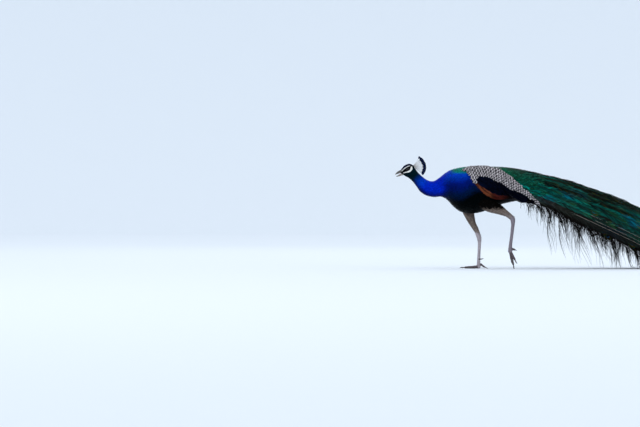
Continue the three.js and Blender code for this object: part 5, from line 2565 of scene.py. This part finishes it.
        # The pupil is notched like a heart on the side of the tip, and the spot is a little long.
        from_tip = np.minimum(turn, math.tau - turn)
        notch = 1 - 0.35 * np.exp(-((from_tip / 0.5) ** 2)) * ((r > 0.2) & (r < 0.34))
        size = plumes.eye[:, None, None] * notch * r
        ahead, aside = 1.12 * size * np.cos(turn), size * np.sin(turn)
        a0 = self.arch.parameter(plumes.tip - 0.9 * plumes.eye)
        b0 = self.arch.across(plumes.share)
        slope, across = (part[:, None, None] for part in sheet.stretch(a0, b0))
        a = np.clip(a0[:, None, None] + ahead * MM / slope, 0, 1)
        b = np.clip(b0[:, None, None] + aside * MM / across, 0.02, 0.98)
        # Towards the front the loose barbs of later rows hide most of each spot.
        sunk = np.interp(plumes.tip, [700, 1050], [5.5, 0.6])[:, None, None]
        lift = -0.9 - 0.9 * r**2 - sunk * rng.uniform(0.6, 1.5, (len(a0), 1, 1))
        points = sheet.point(a, b, lift * MM)
        vane = np.empty((1, len(rings), len(turns), 2))
        vane[0, ..., 0] = 0.5 + 0.45 * rings[:, None] * np.sin(turns)
        vane[0, ..., 1] = 0.5 + 0.45 * rings[:, None] * np.cos(turns)
        tint = colours * rng.uniform(0.8, 1.15, (len(a0), 1, 1, 1))
        patch = np.stack([a0 * 0.9, b0 * 0.9], 1)
        spots.add(points, vane, patch, 0.045, tint)

    def build_saddle(self, sheet: Sheet, cover: BVHTree) -> None:
        """Grows the scale-like green feathers over the front of the train.

        Args:
            sheet: The train's outer surface.
            cover: The wings, which hide the sides of the saddle.
        """
        rng = np.random.default_rng(61)

        def spacing(a: float) -> float:
            """Widens the spacing away from the rump."""
            return float(np.interp(self.arch.place(a), [34, 200, 420], [8.0, 10.0, 12.0])) * MM

        ends = (0.0, float(self.arch.parameter(np.array(330.0))))
        a, b, gap = tract(sheet, spacing, ends, 62, (0.1, 0.9))
        point = sheet.point(a, b)
        fade = rng.uniform(0, 1, len(a)) > (self.arch.place(a) - 150) / 160
        fade &= np.abs(b - 0.5) < np.interp(self.arch.place(a), [34, 180, 300], [0.40, 0.36, 0.28])
        keep = fade & ~is_covered(cover, point, sheet.normal(a, b), 30 * MM)
        a, b, gap = a[keep], b[keep], gap[keep]
        t = np.linspace(0, 1, 8)
        lines = sheet.lines(a, b, 2.9 * gap, rng.normal(0, 0.08, len(a)), t)
        path_a, path_b = (np.clip(part, 0, 1) for part in lines)
        lift = rng.uniform(0, 0.6, len(a))[:, None]
        height = (-6.0 * (1 - t) ** 1.1 + lift * t**2 + 0.6) * MM
        centre = sheet.point(path_a, path_b, height)
        up = sheet.normal(path_a, path_b)
        shape = np.interp(t, [0, 0.25, 0.6, 0.85, 0.95, 1], [0.4, 0.85, 1.0, 0.85, 0.55, 0.2])
        width = (0.6 * gap)[:, None] * shape
        u = np.linspace(-1, 1, 7)
        rim = np.maximum(smooth_step(0.62, 0.95, np.abs(u)), smooth_step(0.8, 0.95, t)[:, None])
        front = smooth_step(180, 60, self.arch.place(a))[:, None, None]
        ridge = smooth_step(0.13, 0.03, np.abs(b - 0.5))[:, None, None] * (1 - front)
        heart = np.exp(-((u / 0.16) ** 2)) * np.interp(t, [0.2, 0.5, 0.8], [0, 0.7, 0.2])[:, None]
        # Each scale is green, brightest at the front, darker along the top ridge as painted shade,
        # with a gold heart and a dark rim.
        tint = painted(tone("#033426"), "#07624e", rng.uniform(0, 1, (len(a), 1, 1)))
        tint = painted(tint, "#0a7a54", front * 0.8)
        # The ridge along the top is darkened: painted shade.
        tint = painted(tint, "#0b120b", ridge * 0.8)
        tint = painted(tint, "#4a4418", heart * 0.5)
        tint = painted(tint, "#020c09", rim * 0.75)
        coat = Plumage("saddle_coat", "plumage_mantle")
        patch = np.stack([a * 0.95, b * 0.95], 1)
        coat.add_vanes(centre, up, width, patch, tint, columns=7, camber=0.14, sweep=0.2)
        coat.finish(FeatherFinish("glossy_scale_feathers", 0.5, 0.25, 22).material())


# ---- Fringe, tail and crest ----


@dataclass(frozen=True)
class FringeLayer:
    """Barbs of one length along the lower edge of the train.

    Attributes:
        count: How many hang from each edge.
        lengths: The shortest and the longest barb, in millimetres.
        half: Half of a barb's breadth at its root, in millimetres.
        pitch: The spacing of the locks that they cling to, in millimetres.
        loose: The share of the locks that hang loose.
    """

    count: int
    lengths: tuple[float, float]
    half: float
    pitch: float
    loose: float


@dataclass
class Fringe:
    """The loose dark barbs that hang from the lower edges of the train.

    Attributes:
        arch: The train's form.
        layers: The barbs that hang free.
        locks: The most locks that a layer has.
        first: X of the first barb, in millimetres.
        last: X of the last one that hangs free.
    """

    arch: Arch = field(default_factory=Arch)
    layers: tuple[FringeLayer, ...] = (
        FringeLayer(950, (14.0, 100.0), 0.5, 22.0, 0.4),
        FringeLayer(300, (90.0, 225.0), 0.85, 34.0, 0.2),
    )
    locks: int = 200
    first: float = 215.0
    last: float = 905.0

    def build(self) -> None:
        """Hangs the fringe on both sides."""
        sheet = self.arch.sheet()
        for name, side in (("left", -1.0), ("right", 1.0)):
            coat = Plumage(f"fringe_{name}_barbs", "plumage_fringe", [f"fringe_{name}"])
            rng = np.random.default_rng(70 if side < 0 else 71)
            for layer in self.layers:
                self.hang(coat, sheet, side, rng, layer)
            self.lay(coat, sheet, side, rng)
            coat.finish(FeatherFinish("loose_dark_barbs", 0.55, 0.0, 4, 0.1).material())

    def hang(
        self, coat: Plumage, sheet: Sheet, side: float, rng: Random, layer: FringeLayer
    ) -> None:
        """Hangs one layer of barbs along one edge.

        Args:
            coat: Where they are collected.
            sheet: The train's outer surface.
            side: -1 for the bird's left and 1 for its right.
            rng: The generator of the disorder.
            layer: The barbs.
        """
        count, pitch, steps = layer.count, layer.pitch, 10
        x = self.first + (self.last - self.first) * np.sort(rng.uniform(0, 1, count) ** 0.85)
        share = side * rng.uniform(0.90, 1.02, count)
        root = sheet.point(self.arch.parameter(x), self.arch.across(share), np.full(count, -4 * MM))
        root = root / MM
        shortest, longest = layer.lengths
        length = shortest + (longest - shortest) * rng.uniform(0, 1, count) ** 2.0
        # The longest barbs hang at the middle of the edge, and the first ones are sparse.
        length *= np.interp(x, [215, 300, 560, 905], [0.35, 1.0, 1.0, 0.75])
        # Barbs cling together in locks, which hang and bend as one.
        lock = np.round(x / pitch).astype(int) % self.locks
        centre = np.round(x / pitch) * pitch + rng.normal(0, 0.25 * pitch, self.locks)[lock]
        bound = rng.uniform(0, 1, self.locks)[lock] > layer.loose
        pull = np.where(bound, 0.86, 0.15)
        length *= rng.uniform(0.6, 1.2, self.locks)[lock]
        t = np.linspace(0, 1, steps)
        sway = np.where(bound, 0.3, 1.0) * rng.normal(0, 1, (3, count))
        lean = np.radians(9 + 8 * rng.normal(0, 1, self.locks)[lock] + 6 * sway[0])[:, None]
        start = np.radians(42 + 6 * rng.normal(0, 1, self.locks)[lock] + 10 * sway[1])[:, None]
        wave = np.sin(5 * t + (rng.uniform(0, math.tau, self.locks)[lock] + 2 * sway[2])[:, None])
        angle = start + (lean - start) * smooth_step(0, 0.35, t) + 0.24 * wave
        step = (length / (steps - 1))[:, None]
        ahead = np.cumsum(np.sin(angle) * step, 1) - np.sin(angle[:, :1]) * step
        down = np.cumsum(np.cos(angle) * step, 1) - np.cos(angle[:, :1]) * step
        gather = smooth_step(0.05, 0.45, t) * pull[:, None]
        px = root[:, :1] + ahead + (centre - x)[:, None] * gather
        py = root[:, 1:2] + np.cumsum(rng.normal(0, 0.35, (count, steps)), 1) - side * 3 * t
        pz = np.maximum(root[:, 2:] - down, 2.0 + 2.0 * rng.uniform(0, 1, (count, 1)))
        path = np.stack([px, py, pz], -1) * MM
        self.add(coat, path, x, share, layer.half, rng)

    def lay(self, coat: Plumage, sheet: Sheet, side: float, rng: Random) -> None:
        """Lays short barbs on the floor along the rear of one edge."""
        count, steps = 420, 6
        x = np.sort(rng.uniform(self.last - 30, self.arch.end + 60, count))
        share = side * rng.uniform(0.94, 1.0, count)
        root = sheet.point(self.arch.parameter(x), self.arch.across(share), np.full(count, -5 * MM))
        t = np.linspace(0, 1, steps)
        length = rng.uniform(14, 34, count)[:, None]
        angle = np.radians(rng.normal(22, 8, count))[:, None]
        px = root[:, :1] / MM + length * t * np.cos(angle)
        py = root[:, 1:2] / MM + side * length * 0.5 * t * np.sin(angle)
        low = np.maximum(1.2 + rng.uniform(0, 2.5, (count, 1)), 1.0)
        pz = root[:, 2:] / MM * (1 - t) ** 1.5 + low * (1 - (1 - t) ** 1.5)
        self.add(coat, np.stack([px, py, pz], -1) * MM, x, share, 0.7, rng)

    def add(
        self, coat: Plumage, path: Array, x: Array, share: Array, half: float, rng: Random
    ) -> None:
        """Adds barbs along paths, tapered and nearly black."""
        count, steps = path.shape[:2]
        t = np.linspace(0, 1, steps)
        run = unit(np.gradient(path, axis=1))
        facing = unit(np.array([1.0, 0.0, 0.35]) + rng.normal(0, 0.45, (count, 1, 3)))
        across = unit(facing - run * (facing * run).sum(-1, keepdims=True))
        width = np.interp(t, [0, 0.6, 1], [1.0, 0.75, 0.3]) * half * MM
        tint = tone("#14110f") * rng.uniform(0.3, 1.4, (count, 1, 1))
        patch = np.stack([self.arch.parameter(x) * 0.95, self.arch.across(share) * 0.9], 1)
        spot = np.stack([np.full(steps, 0.5), t], -1)[None]
        coat.add_strands(path, across, width, patch, spot, tint)


@dataclass
class Tail:
    """The stiff grey-brown tail feathers that prop up the train, and the down under them.

    Attributes:
        root: Where the fan starts, in millimetres.
        droop: The fan's slope below the level, in degrees.
        length: The length of the middle feathers, in millimetres.
        half: Half of a feather's width, in millimetres.
        fan: The largest angle from the middle, in degrees.
        count: How many feathers there are.
    """

    root: tuple[float, float, float] = (176, 0, 366)
    droop: float = 15.0
    length: float = 398.0
    half: float = 17.0
    fan: float = 10.5
    count: int = 18

    def build(self) -> None:
        """Builds the fan of feathers."""
        coat = Plumage("tail_feathers", "plumage_tail", ["tail"])
        rng = np.random.default_rng(81)
        t = np.linspace(0, 1, 24)
        slope = math.radians(self.droop)
        ahead = np.array([math.cos(slope), 0, -math.sin(slope)])
        normal = np.array([math.sin(slope), 0, math.cos(slope)])
        place = np.linspace(-1, 1, self.count)
        angle = np.radians(self.fan) * place
        length = self.length * (1 - 0.06 * place**2)
        run = ahead * np.cos(angle)[:, None] + np.array([0, 1, 0]) * np.sin(angle)[:, None]
        # Each feather lies over its outer neighbour, so the middle pair is on top.
        lift = 2.2 * (1 - np.abs(place)) - 1.6
        centre = np.array(self.root) + run[:, None] * (length[:, None] * t)[..., None]
        centre = (centre + normal * lift[:, None, None]) * MM
        shape = np.interp(t, [0, 0.1, 0.6, 0.9, 0.97, 1], [0.2, 0.6, 0.95, 0.9, 0.6, 0.15])
        width = self.half * MM * shape
        band = np.sin(t * 60 + rng.uniform(0, 6, (self.count, 1))) * 0.5 + 0.5
        tint = painted(tone("#5d5147"), "#2b241f", 0.5 * band)
        patch = np.stack([0.05 * np.arange(self.count), np.full(self.count, 0.1)], 1)
        coat.add_vanes(centre, normal, width, patch, tint, 9, 0.05, 0.3, 0.05)
        stem, pale = np.interp(t, [0, 1], [1.5, 0.3]) * MM, tone("#8d8377")
        coat.add_vanes(centre + normal * 0.4 * MM, normal, stem, patch, pale, 3, 0.9, 0.0)
        coat.add_vanes(centre - normal * 0.5 * MM, -normal, stem, patch, pale, 3, 0.9, 0.0)
        coat.finish(FeatherFinish("matt_tail_feathers", 0.7, 0.0, 60).material())


@dataclass
class Crest:
    """The fan of bare shafts on the crown, each with a blue paddle at its end.

    Attributes:
        root: Where the shafts meet, in millimetres.
        low: The angle of the last shaft over the +X direction, in degrees.
        high: The angle of the first one.
        shaft: The length of the bare shaft, in millimetres.
        paddle: The length and half width of the paddle.
        count: How many shafts there are.
    """

    root: tuple[float, float, float] = (-311, 0, 485)
    low: float = -42.0
    high: float = 51.0
    shaft: float = 42.5
    paddle: tuple[float, float] = (17.0, 5.6)
    count: int = 25

    def build(self) -> None:
        """Builds the crest."""
        rng = np.random.default_rng(91)
        share = (np.arange(self.count) + 0.5) / self.count
        angle = np.radians(self.low + (self.high - self.low) * share)
        out = rng.uniform(-1, 1, self.count)
        length = self.shaft + 2.5 * np.sin(math.pi * share) + rng.normal(0, 0.6, self.count)
        root = np.array(self.root) + np.stack([(0.5 - share) * 6 - 1, 1.6 * out, 0 * share - 2], 1)
        t = np.linspace(0, 1, 10)
        bend = np.radians(rng.normal(0, 2.0, self.count))[:, None] * t
        turn = angle[:, None] + bend
        run = np.stack([np.cos(turn), 0.07 * out[:, None] + 0 * turn, np.sin(turn)], -1)
        reach = (length[:, None] + self.paddle[0]) * t
        path = root[:, None] + run * reach[..., None]
        up = unit(np.array([0.0, -1.0, 0.0]) + rng.normal(0, 0.12, (self.count, 1, 3)))
        coat = Plumage("crest_fan", "crest", ["crest"])
        patch = np.stack([0.038 * np.arange(self.count), np.full(self.count, 0.02)], 1)
        stem = np.interp(t, [0, 1], [0.6, 0.3]) * MM
        pale = np.interp(t, [0, 0.6, 0.8], [0.95, 0.9, 0.1])
        tint = painted(tone("#0a1440"), "#eceae6", pale)[None]
        for turned in (up, unit(np.cross(up, unit(np.gradient(path, axis=1))))):
            coat.add_vanes(path * MM, turned, stem, patch, tint, 3, 0.0, 0.0)
        self.add_paddles(coat, path, up, run, patch, rng)
        self.add_barbs(coat, root, run, angle, length, patch, rng)
        coat.finish(FeatherFinish("crest_feathers", 0.45, 0.2, 14).material())

    def add_paddles(
        self, coat: Plumage, path: Array, up: Array, run: Array, patch: Array, rng: Random
    ) -> None:
        """Adds the fan-shaped paddle at the end of each shaft."""
        t = np.linspace(0, 1, 9)
        ahead = run[:, -1]
        # The fan's end feathers carry the smallest paddles, which gives the band its crescent.
        size = np.interp(np.linspace(0, 1, self.count), [0, 0.3, 0.7, 1], [0.78, 1, 1, 0.74])
        base = path[:, -1] - ahead * self.paddle[0] * size[:, None]
        reach = self.paddle[0] * size[:, None] * t
        centre = base[:, None] + ahead[:, None] * reach[..., None]
        shape = np.interp(t, [0, 0.15, 0.45, 0.85, 1], [0.1, 0.62, 1.0, 1.0, 0.55])
        width = self.paddle[1] * MM * shape
        tint = tone("#01061c") * rng.uniform(0.7, 1.25, (self.count, 1, 1))
        tint = painted(tint, "#031a48", np.interp(t, [0, 0.5, 1], [0.0, 0.6, 0.15]))
        coat.add_vanes(centre * MM, up, width, patch, tint, 7, 0.12, 0.3)

    def add_barbs(
        self,
        coat: Plumage,
        root: Array,
        run: Array,
        angle: Array,
        length: Array,
        patch: Array,
        rng: Random,
    ) -> None:
        """Adds the sparse pale barbs along each bare shaft."""
        per = 9
        place = np.linspace(0.08, 0.98, per)
        spots = root[:, None] + run[:, :1] * (length[:, None] * place)[..., None]
        q = np.linspace(0, 1, 3)
        for side in (-1.0, 1.0):
            turn = angle[:, None] + side * np.radians(rng.normal(38, 6, (self.count, per)))
            way = np.stack([np.cos(turn), rng.normal(0, 0.1, turn.shape), np.sin(turn)], -1)
            span = rng.uniform(2.2, 4.2, (self.count, per, 1, 1))
            path = (spots[:, :, None] + way[:, :, None] * span * q[:, None]).reshape(-1, 3, 3) * MM
            flat = unit(np.cross(np.array([0.0, 1.0, 0.0]), unit(np.gradient(path, axis=1))))
            width, spot = np.array([0.3, 0.25, 0.12]) * MM, np.full((1, 1, 2), 0.5)
            coat.add_strands(path, flat, width, np.repeat(patch, per, 0), spot, tone("#e2dfdc"))


# ---- Bill, eyes and claws ----


def lofted(rings: Array, name: str) -> bpy.types.Mesh:
    """Skins a row of closed rings and closes both ends.

    Args:
        rings: Points, indexed by ring, then round it.
        name: The mesh's name.

    Returns:
        The mesh, with its vertices in the order of the rings.
    """
    work = bmesh.new()
    first = bmesh.ops.create_circle(work, segments=rings.shape[1], radius=1.0)["verts"]
    for vertex, place in zip(first, rings[0]):
        vertex.co = place
    edges = list(work.edges)
    caps = [list(first)]
    ordered = list(first)
    for ring in rings[1:]:
        grown = bmesh.ops.extrude_edge_only(work, edges=edges)["geom"]
        corners = [g for g in grown if isinstance(g, bmesh.types.BMVert)]
        edges = [
            g
            for g in grown
            if isinstance(g, bmesh.types.BMEdge) and all(v in corners for v in g.verts)
        ]
        links = ((e.other_vert(v), v) for v in corners for e in v.link_edges)
        above = {other: v for other, v in links if other not in corners}
        ordered = [above[v] for v in ordered]
        for vertex, place in zip(ordered, ring):
            vertex.co = place
    caps.append(ordered)
    for cap in caps:
        bmesh.ops.contextual_create(work, geom=cap)
    bmesh.ops.recalc_face_normals(work, faces=work.faces)
    sort_faces(work)
    return mesh_from(work, name)


@dataclass
class Bill:
    """Both halves of the bill, with nostrils, and the tongue between them.

    Attributes:
        upper: X and Z of the top, X and Z of the bottom, and half the width, along the bill.
        lower: The same for the lower half.
        nostril: X, Y and Z of the left nostril, mirrored for the right.
        rings: How many rings each half has.
        sides: How many points each ring has.
    """

    upper: tuple[tuple[float, ...], ...] = (
        (-355, 468, -356, 459, 6.0),
        (-364, 470.5, -362, 455, 8.4),
        (-373, 467, -371, 452.5, 7.3),
        (-382, 462, -380.5, 450, 5.6),
        (-390, 455.5, -388.5, 447.5, 3.4),
        (-395, 449.2, -393.5, 445.6, 1.6),
        (-396.2, 446.9, -395.4, 445.2, 0.3),
    )
    lower: tuple[tuple[float, ...], ...] = (
        (-352, 450, -352, 444.5, 6.0),
        (-361, 450, -361, 442, 7.6),
        (-371, 447, -371, 439.5, 6.3),
        (-381, 443, -381, 436.5, 4.4),
        (-389.5, 438.9, -389.5, 435.7, 1.9),
        (-391, 437.6, -391, 436.4, 0.3),
    )
    nostril: tuple[float, float, float] = (-375, 6.4, 460.5)
    rings: int = 44
    sides: int = 48

    def build(self) -> None:
        """Builds the bill and the tongue."""
        material = HornFinish("worn_horn_bill").material()
        for name, table in (("bill_upper", self.upper), ("bill_lower", self.lower)):
            rows = spline(np.array(table), np.linspace(0, 1, self.rings))
            turns = np.arange(self.sides) / self.sides * math.tau
            top = np.stack([rows[:, 0], 0 * rows[:, 0], rows[:, 1]], 1)
            low = np.stack([rows[:, 2], 0 * rows[:, 2], rows[:, 3]], 1)
            middle, half = (top + low) / 2, (top - low) / 2
            # The ridge is narrow and the cutting edges are fuller, as in a fowl.
            ridge = 1 - 0.18 * np.maximum(np.cos(turns), 0) ** 2
            side = np.sin(turns) * ridge
            rings = middle[:, None] + half[:, None] * np.cos(turns)[None, :, None]
            rings = rings + np.array([0, 1.0, 0]) * (rows[:, 4:5] * side)[..., None]
            points, tint = self.dressed(rings.reshape(-1, 3), name)
            mesh = lofted(points.reshape(rings.shape) * MM, name + "_horn")
            piece = shown(mesh, material)
            add_tint(piece, tint)
            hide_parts(name)

    def dressed(self, points: Array, name: str) -> tuple[Array, Array]:
        """Presses the nostrils in and colours the horn.

        Args:
            points: The points of one half, in millimetres.
            name: Which half it is.

        Returns:
            The moved points, and a colour for each.
        """
        flat = np.abs(points * np.array([0, 1, 0])) + points * np.array([1, 0, 1])
        away = (flat - np.array(self.nostril)) * np.array([0.36, 0.4, 0.72])
        pit = np.exp(-((np.linalg.norm(away, axis=1) / 1.15) ** 2))
        tip = smooth_step(-384, -396, points[:, 0])
        if name == "bill_upper":
            high = smooth_step(450, 466, points[:, 2] - 0.495 * (points[:, 0] + 364))
            tint = painted(tone("#948d85"), "#2c2a29", 0.9 * high)
            tint = painted(tint, "#080605", smooth_step(0.2, 0.6, pit))
            points = points - np.sign(points) * np.array([0, 1, 0]) * (pit * 1.5)[:, None]
        else:
            low = smooth_step(446, 439, points[:, 2] + 0.25 * (points[:, 0] + 371))
            tint = painted(tone("#a39c93"), "#57534f", 0.8 * low)
        base = smooth_step(-366, -356, points[:, 0])
        tint = painted(tint, "#3c3b3d", 0.7 * base)
        return points, painted(tint, "#5e574e", 0.5 * tip)


@dataclass
class Eyes:
    """Both eyeballs, dark brown with a black pupil, and the lids round them.

    Attributes:
        centre: The centre of the left eyeball, mirrored for the right, in millimetres.
        radius: Its radius.
        opening: Half of the length and of the height of the opening between the lids.
        lid: The radius of the lids' rolled edge.
        tilt: How far the opening's front end dips, in degrees.
    """

    centre: tuple[float, float, float] = (-336, -11.6, 470.5)
    radius: float = 7.4
    opening: tuple[float, float] = (5.7, 4.7)
    lid: float = 1.05
    tilt: float = 14.0

    def build(self) -> None:
        """Builds both eyes and their lids."""
        wet = start_material(
            "wet_cornea",
            {
                "Roughness": 0.12,
                "IOR": 1.38,
                "Specular IOR Level": 0.1,
                "Coat Weight": 0.45,
                "Coat Roughness": 0.02,
                "Coat IOR": 1.38,
            },
        )
        colour = add_node(wet.node_tree, "ShaderNodeAttribute", {"attribute_name": "Tint"}, {})
        shader = wet.node_tree.nodes["Principled BSDF"]
        wet.node_tree.links.new(colour.outputs["Color"], shader.inputs["Base Color"])
        rim = SkinFinish("lid_skin", 0.6, 0.7 * MM, 0.3).material()
        for side, sign in (("left", -1.0), ("right", 1.0)):
            middle = np.array([self.centre[0], sign * abs(self.centre[1]), self.centre[2]])
            self.build_ball(side, sign, middle, wet)
            self.build_lid(side, sign, middle, rim)

    def build_ball(
        self, side: str, sign: float, middle: Array, material: bpy.types.Material
    ) -> None:
        """Builds one eyeball with its pole on the outside."""
        work = bmesh.new()
        turn = Matrix.Rotation(-sign * math.pi / 2, 4, "X")
        place = Matrix.Translation(Vector(middle * MM)) @ turn
        bmesh.ops.create_uvsphere(
            work, u_segments=40, v_segments=44, radius=self.radius * MM, matrix=place
        )
        sort_faces(work)
        mesh = mesh_from(work, f"eyeball_{side}")
        ball = shown(mesh, material)
        points = np.array([v.co for v in mesh.vertices]) / MM
        aim = unit((points - middle)) @ unit(np.array([-0.12, sign, 0.04]))
        angle = np.degrees(np.arccos(np.clip(aim, -1, 1)))
        round_pupil = np.arctan2(points[:, 2] - middle[2], points[:, 0] - middle[0])
        tint = tone("#2a1206") * (0.85 + 0.3 * np.sin(17 * round_pupil))[:, None]
        tint = painted(tint, "#020202", smooth_step(19, 15, angle))
        tint = painted(tint, "#0a0504", smooth_step(34, 42, angle))
        add_tint(ball, tint)
        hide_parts(f"eye_{side}")

    def build_lid(
        self, side: str, sign: float, middle: Array, material: bpy.types.Material
    ) -> None:
        """Builds the rolled edge of both lids of one eye as a closed ring on the eyeball."""
        work = bmesh.new()
        circle = bmesh.ops.create_circle(
            work, segments=10, radius=self.lid, matrix=Matrix.Translation((5.0, 0, 0))
        )["verts"]
        bmesh.ops.spin(
            work,
            geom=circle + list(work.edges),
            axis=(0, 1, 0),
            cent=(0, 0, 0),
            angle=math.tau,
            steps=48,
            use_merge=True,
        )
        bmesh.ops.remove_doubles(work, verts=work.verts, dist=1e-4)
        lean = math.radians(self.tilt)
        for vertex in work.verts:
            x, y, z = vertex.co
            angle, out = math.atan2(z, x), math.hypot(x, z) - 5.0
            # The upper lid is flatter and heavier than the lower one.
            heavy = 1.25 if z > 0 else 0.9
            along = (self.opening[0] + out) * math.cos(angle)
            tall = (self.opening[1] * (0.88 if z > 0 else 1.0) + out * heavy) * math.sin(angle)
            dx = along * math.cos(lean) - tall * math.sin(lean)
            dz = along * math.sin(lean) + tall * math.cos(lean)
            depth = math.sqrt(max((self.radius + 0.15) ** 2 - dx * dx - dz * dz, 4.0))
            spot = middle + np.array([dx, sign * (depth + y * 0.8), dz])
            vertex.co = Vector(spot * MM)
        bmesh.ops.recalc_face_normals(work, faces=work.faces)
        sort_faces(work)
        mesh = mesh_from(work, f"eyelids_{side}")
        ring = shown(mesh, material)
        add_tint(ring, tone("#26262a"))


@dataclass(frozen=True)
class HornPart:
    """How a claw, a spur or the tongue is rounded off and coloured.

    Attributes:
        root: The colour of its root.
        tip: The colour of its tip.
        slot: The record's material slot; not used.
        deeper: How much deeper its root is set into the flesh, in metres.
    """

    root: str
    tip: str
    slot: str
    deeper: float = 0.0


@dataclass
class HornParts:
    """The claws, the spurs and the tongue, as rounded copies of their solids.

    Attributes:
        claw: What the claws and the spurs are like.
        tongue: What the tongue is like.
        cuts: How often each edge of a solid is halved.
        rounds: How often the finer mesh is smoothed.
    """

    claw: HornPart = HornPart("#4a423b", "#1c1815", "horn", 2.5 * MM)
    tongue: HornPart = HornPart("#b06a66", "#c98a84", "tongue")
    cuts: int = 2
    rounds: int = 3

    def build(self) -> None:
        """Rounds all of them off."""
        horn = HornFinish("dark_claw_horn", 0.42).material()
        flesh = HornFinish("wet_tongue", 0.3, 0.5).material()
        for name in frame["nodes"]:
            if name.startswith(("claw_", "spur_")):
                self.dress(name, self.claw, horn)
        self.dress("tongue", self.tongue, flesh)

    def rounded(self, name: str) -> bpy.types.Mesh:
        """Copies a solid and rounds its facets off."""
        work = bmesh.new()
        work.from_mesh(frame["nodes"][name].data)
        bmesh.ops.remove_doubles(work, verts=work.verts, dist=1e-5)
        for _ in range(self.cuts):
            bmesh.ops.subdivide_edges(
                work, edges=work.edges, cuts=1, use_grid_fill=True, smooth=0.0
            )
        axes = {f"use_axis_{axis}": True for axis in "xyz"}
        for _ in range(self.rounds):
            bmesh.ops.smooth_vert(work, verts=work.verts, factor=0.4, **axes)
        bmesh.ops.recalc_face_normals(work, faces=work.faces)
        return mesh_from(work, name + "_worn")

    def dress(self, name: str, part: HornPart, material: bpy.types.Material) -> None:
        """Puts a rounded copy in the place of a solid.

        Args:
            name: The solid's node.
            part: What it is like.
            material: Its finish.
        """
        mesh = self.rounded(name)
        piece = shown(mesh, material)
        points = np.array([v.co for v in mesh.vertices])
        middle = points.mean(0)
        axis = np.linalg.svd(points - middle, full_matrices=False)[2][0]
        along = (points - middle) @ axis
        # The tip is the thin end, where the points lie closest to the axis.
        away = np.linalg.norm(points - middle - along[:, None] * axis, axis=1)
        if away[along > 0].mean() > away[along < 0].mean():
            along, axis = -along, -axis
        share = (along - along.min()) / max(np.ptp(along), 1e-9)
        points = points - axis * (part.deeper * smooth_step(0.45, 0.0, share))[:, None]
        mesh.vertices.foreach_set("co", points.ravel())
        mesh.update()
        add_tint(piece, painted(tone(part.root), part.tip, share))
        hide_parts(name)


def main() -> None:
    """Builds the bird piece by piece."""
    logging.basicConfig(level=logging.INFO, format="%(message)s")
    Studio().build()
    LOG.info("studio built")
    torso = wrapped_sheet(TORSO_NODES, TORSO)
    cover, _ = solid_tree([n for n in frame["nodes"] if n.startswith(("wing_", "train_"))])
    face = Face()
    Skin().build(face)
    LOG.info("skin built")
    ContourCoat().build(torso, cover, face)
    LOG.info("contour coat built")
    ShankCoat().build()
    LOG.info("shank coat built")
    Wings().build()
    LOG.info("wings built")
    Train().build(solid_tree(WING_NODES)[0])
    LOG.info("train built")
    Fringe().build()
    Tail().build()
    LOG.info("fringe and tail built")
    Crest().build()
    Bill().build()
    Eyes().build()
    HornParts().build()
    LOG.info("crest, bill, eyes and claws built")


if __name__ == "__main__":
    main()
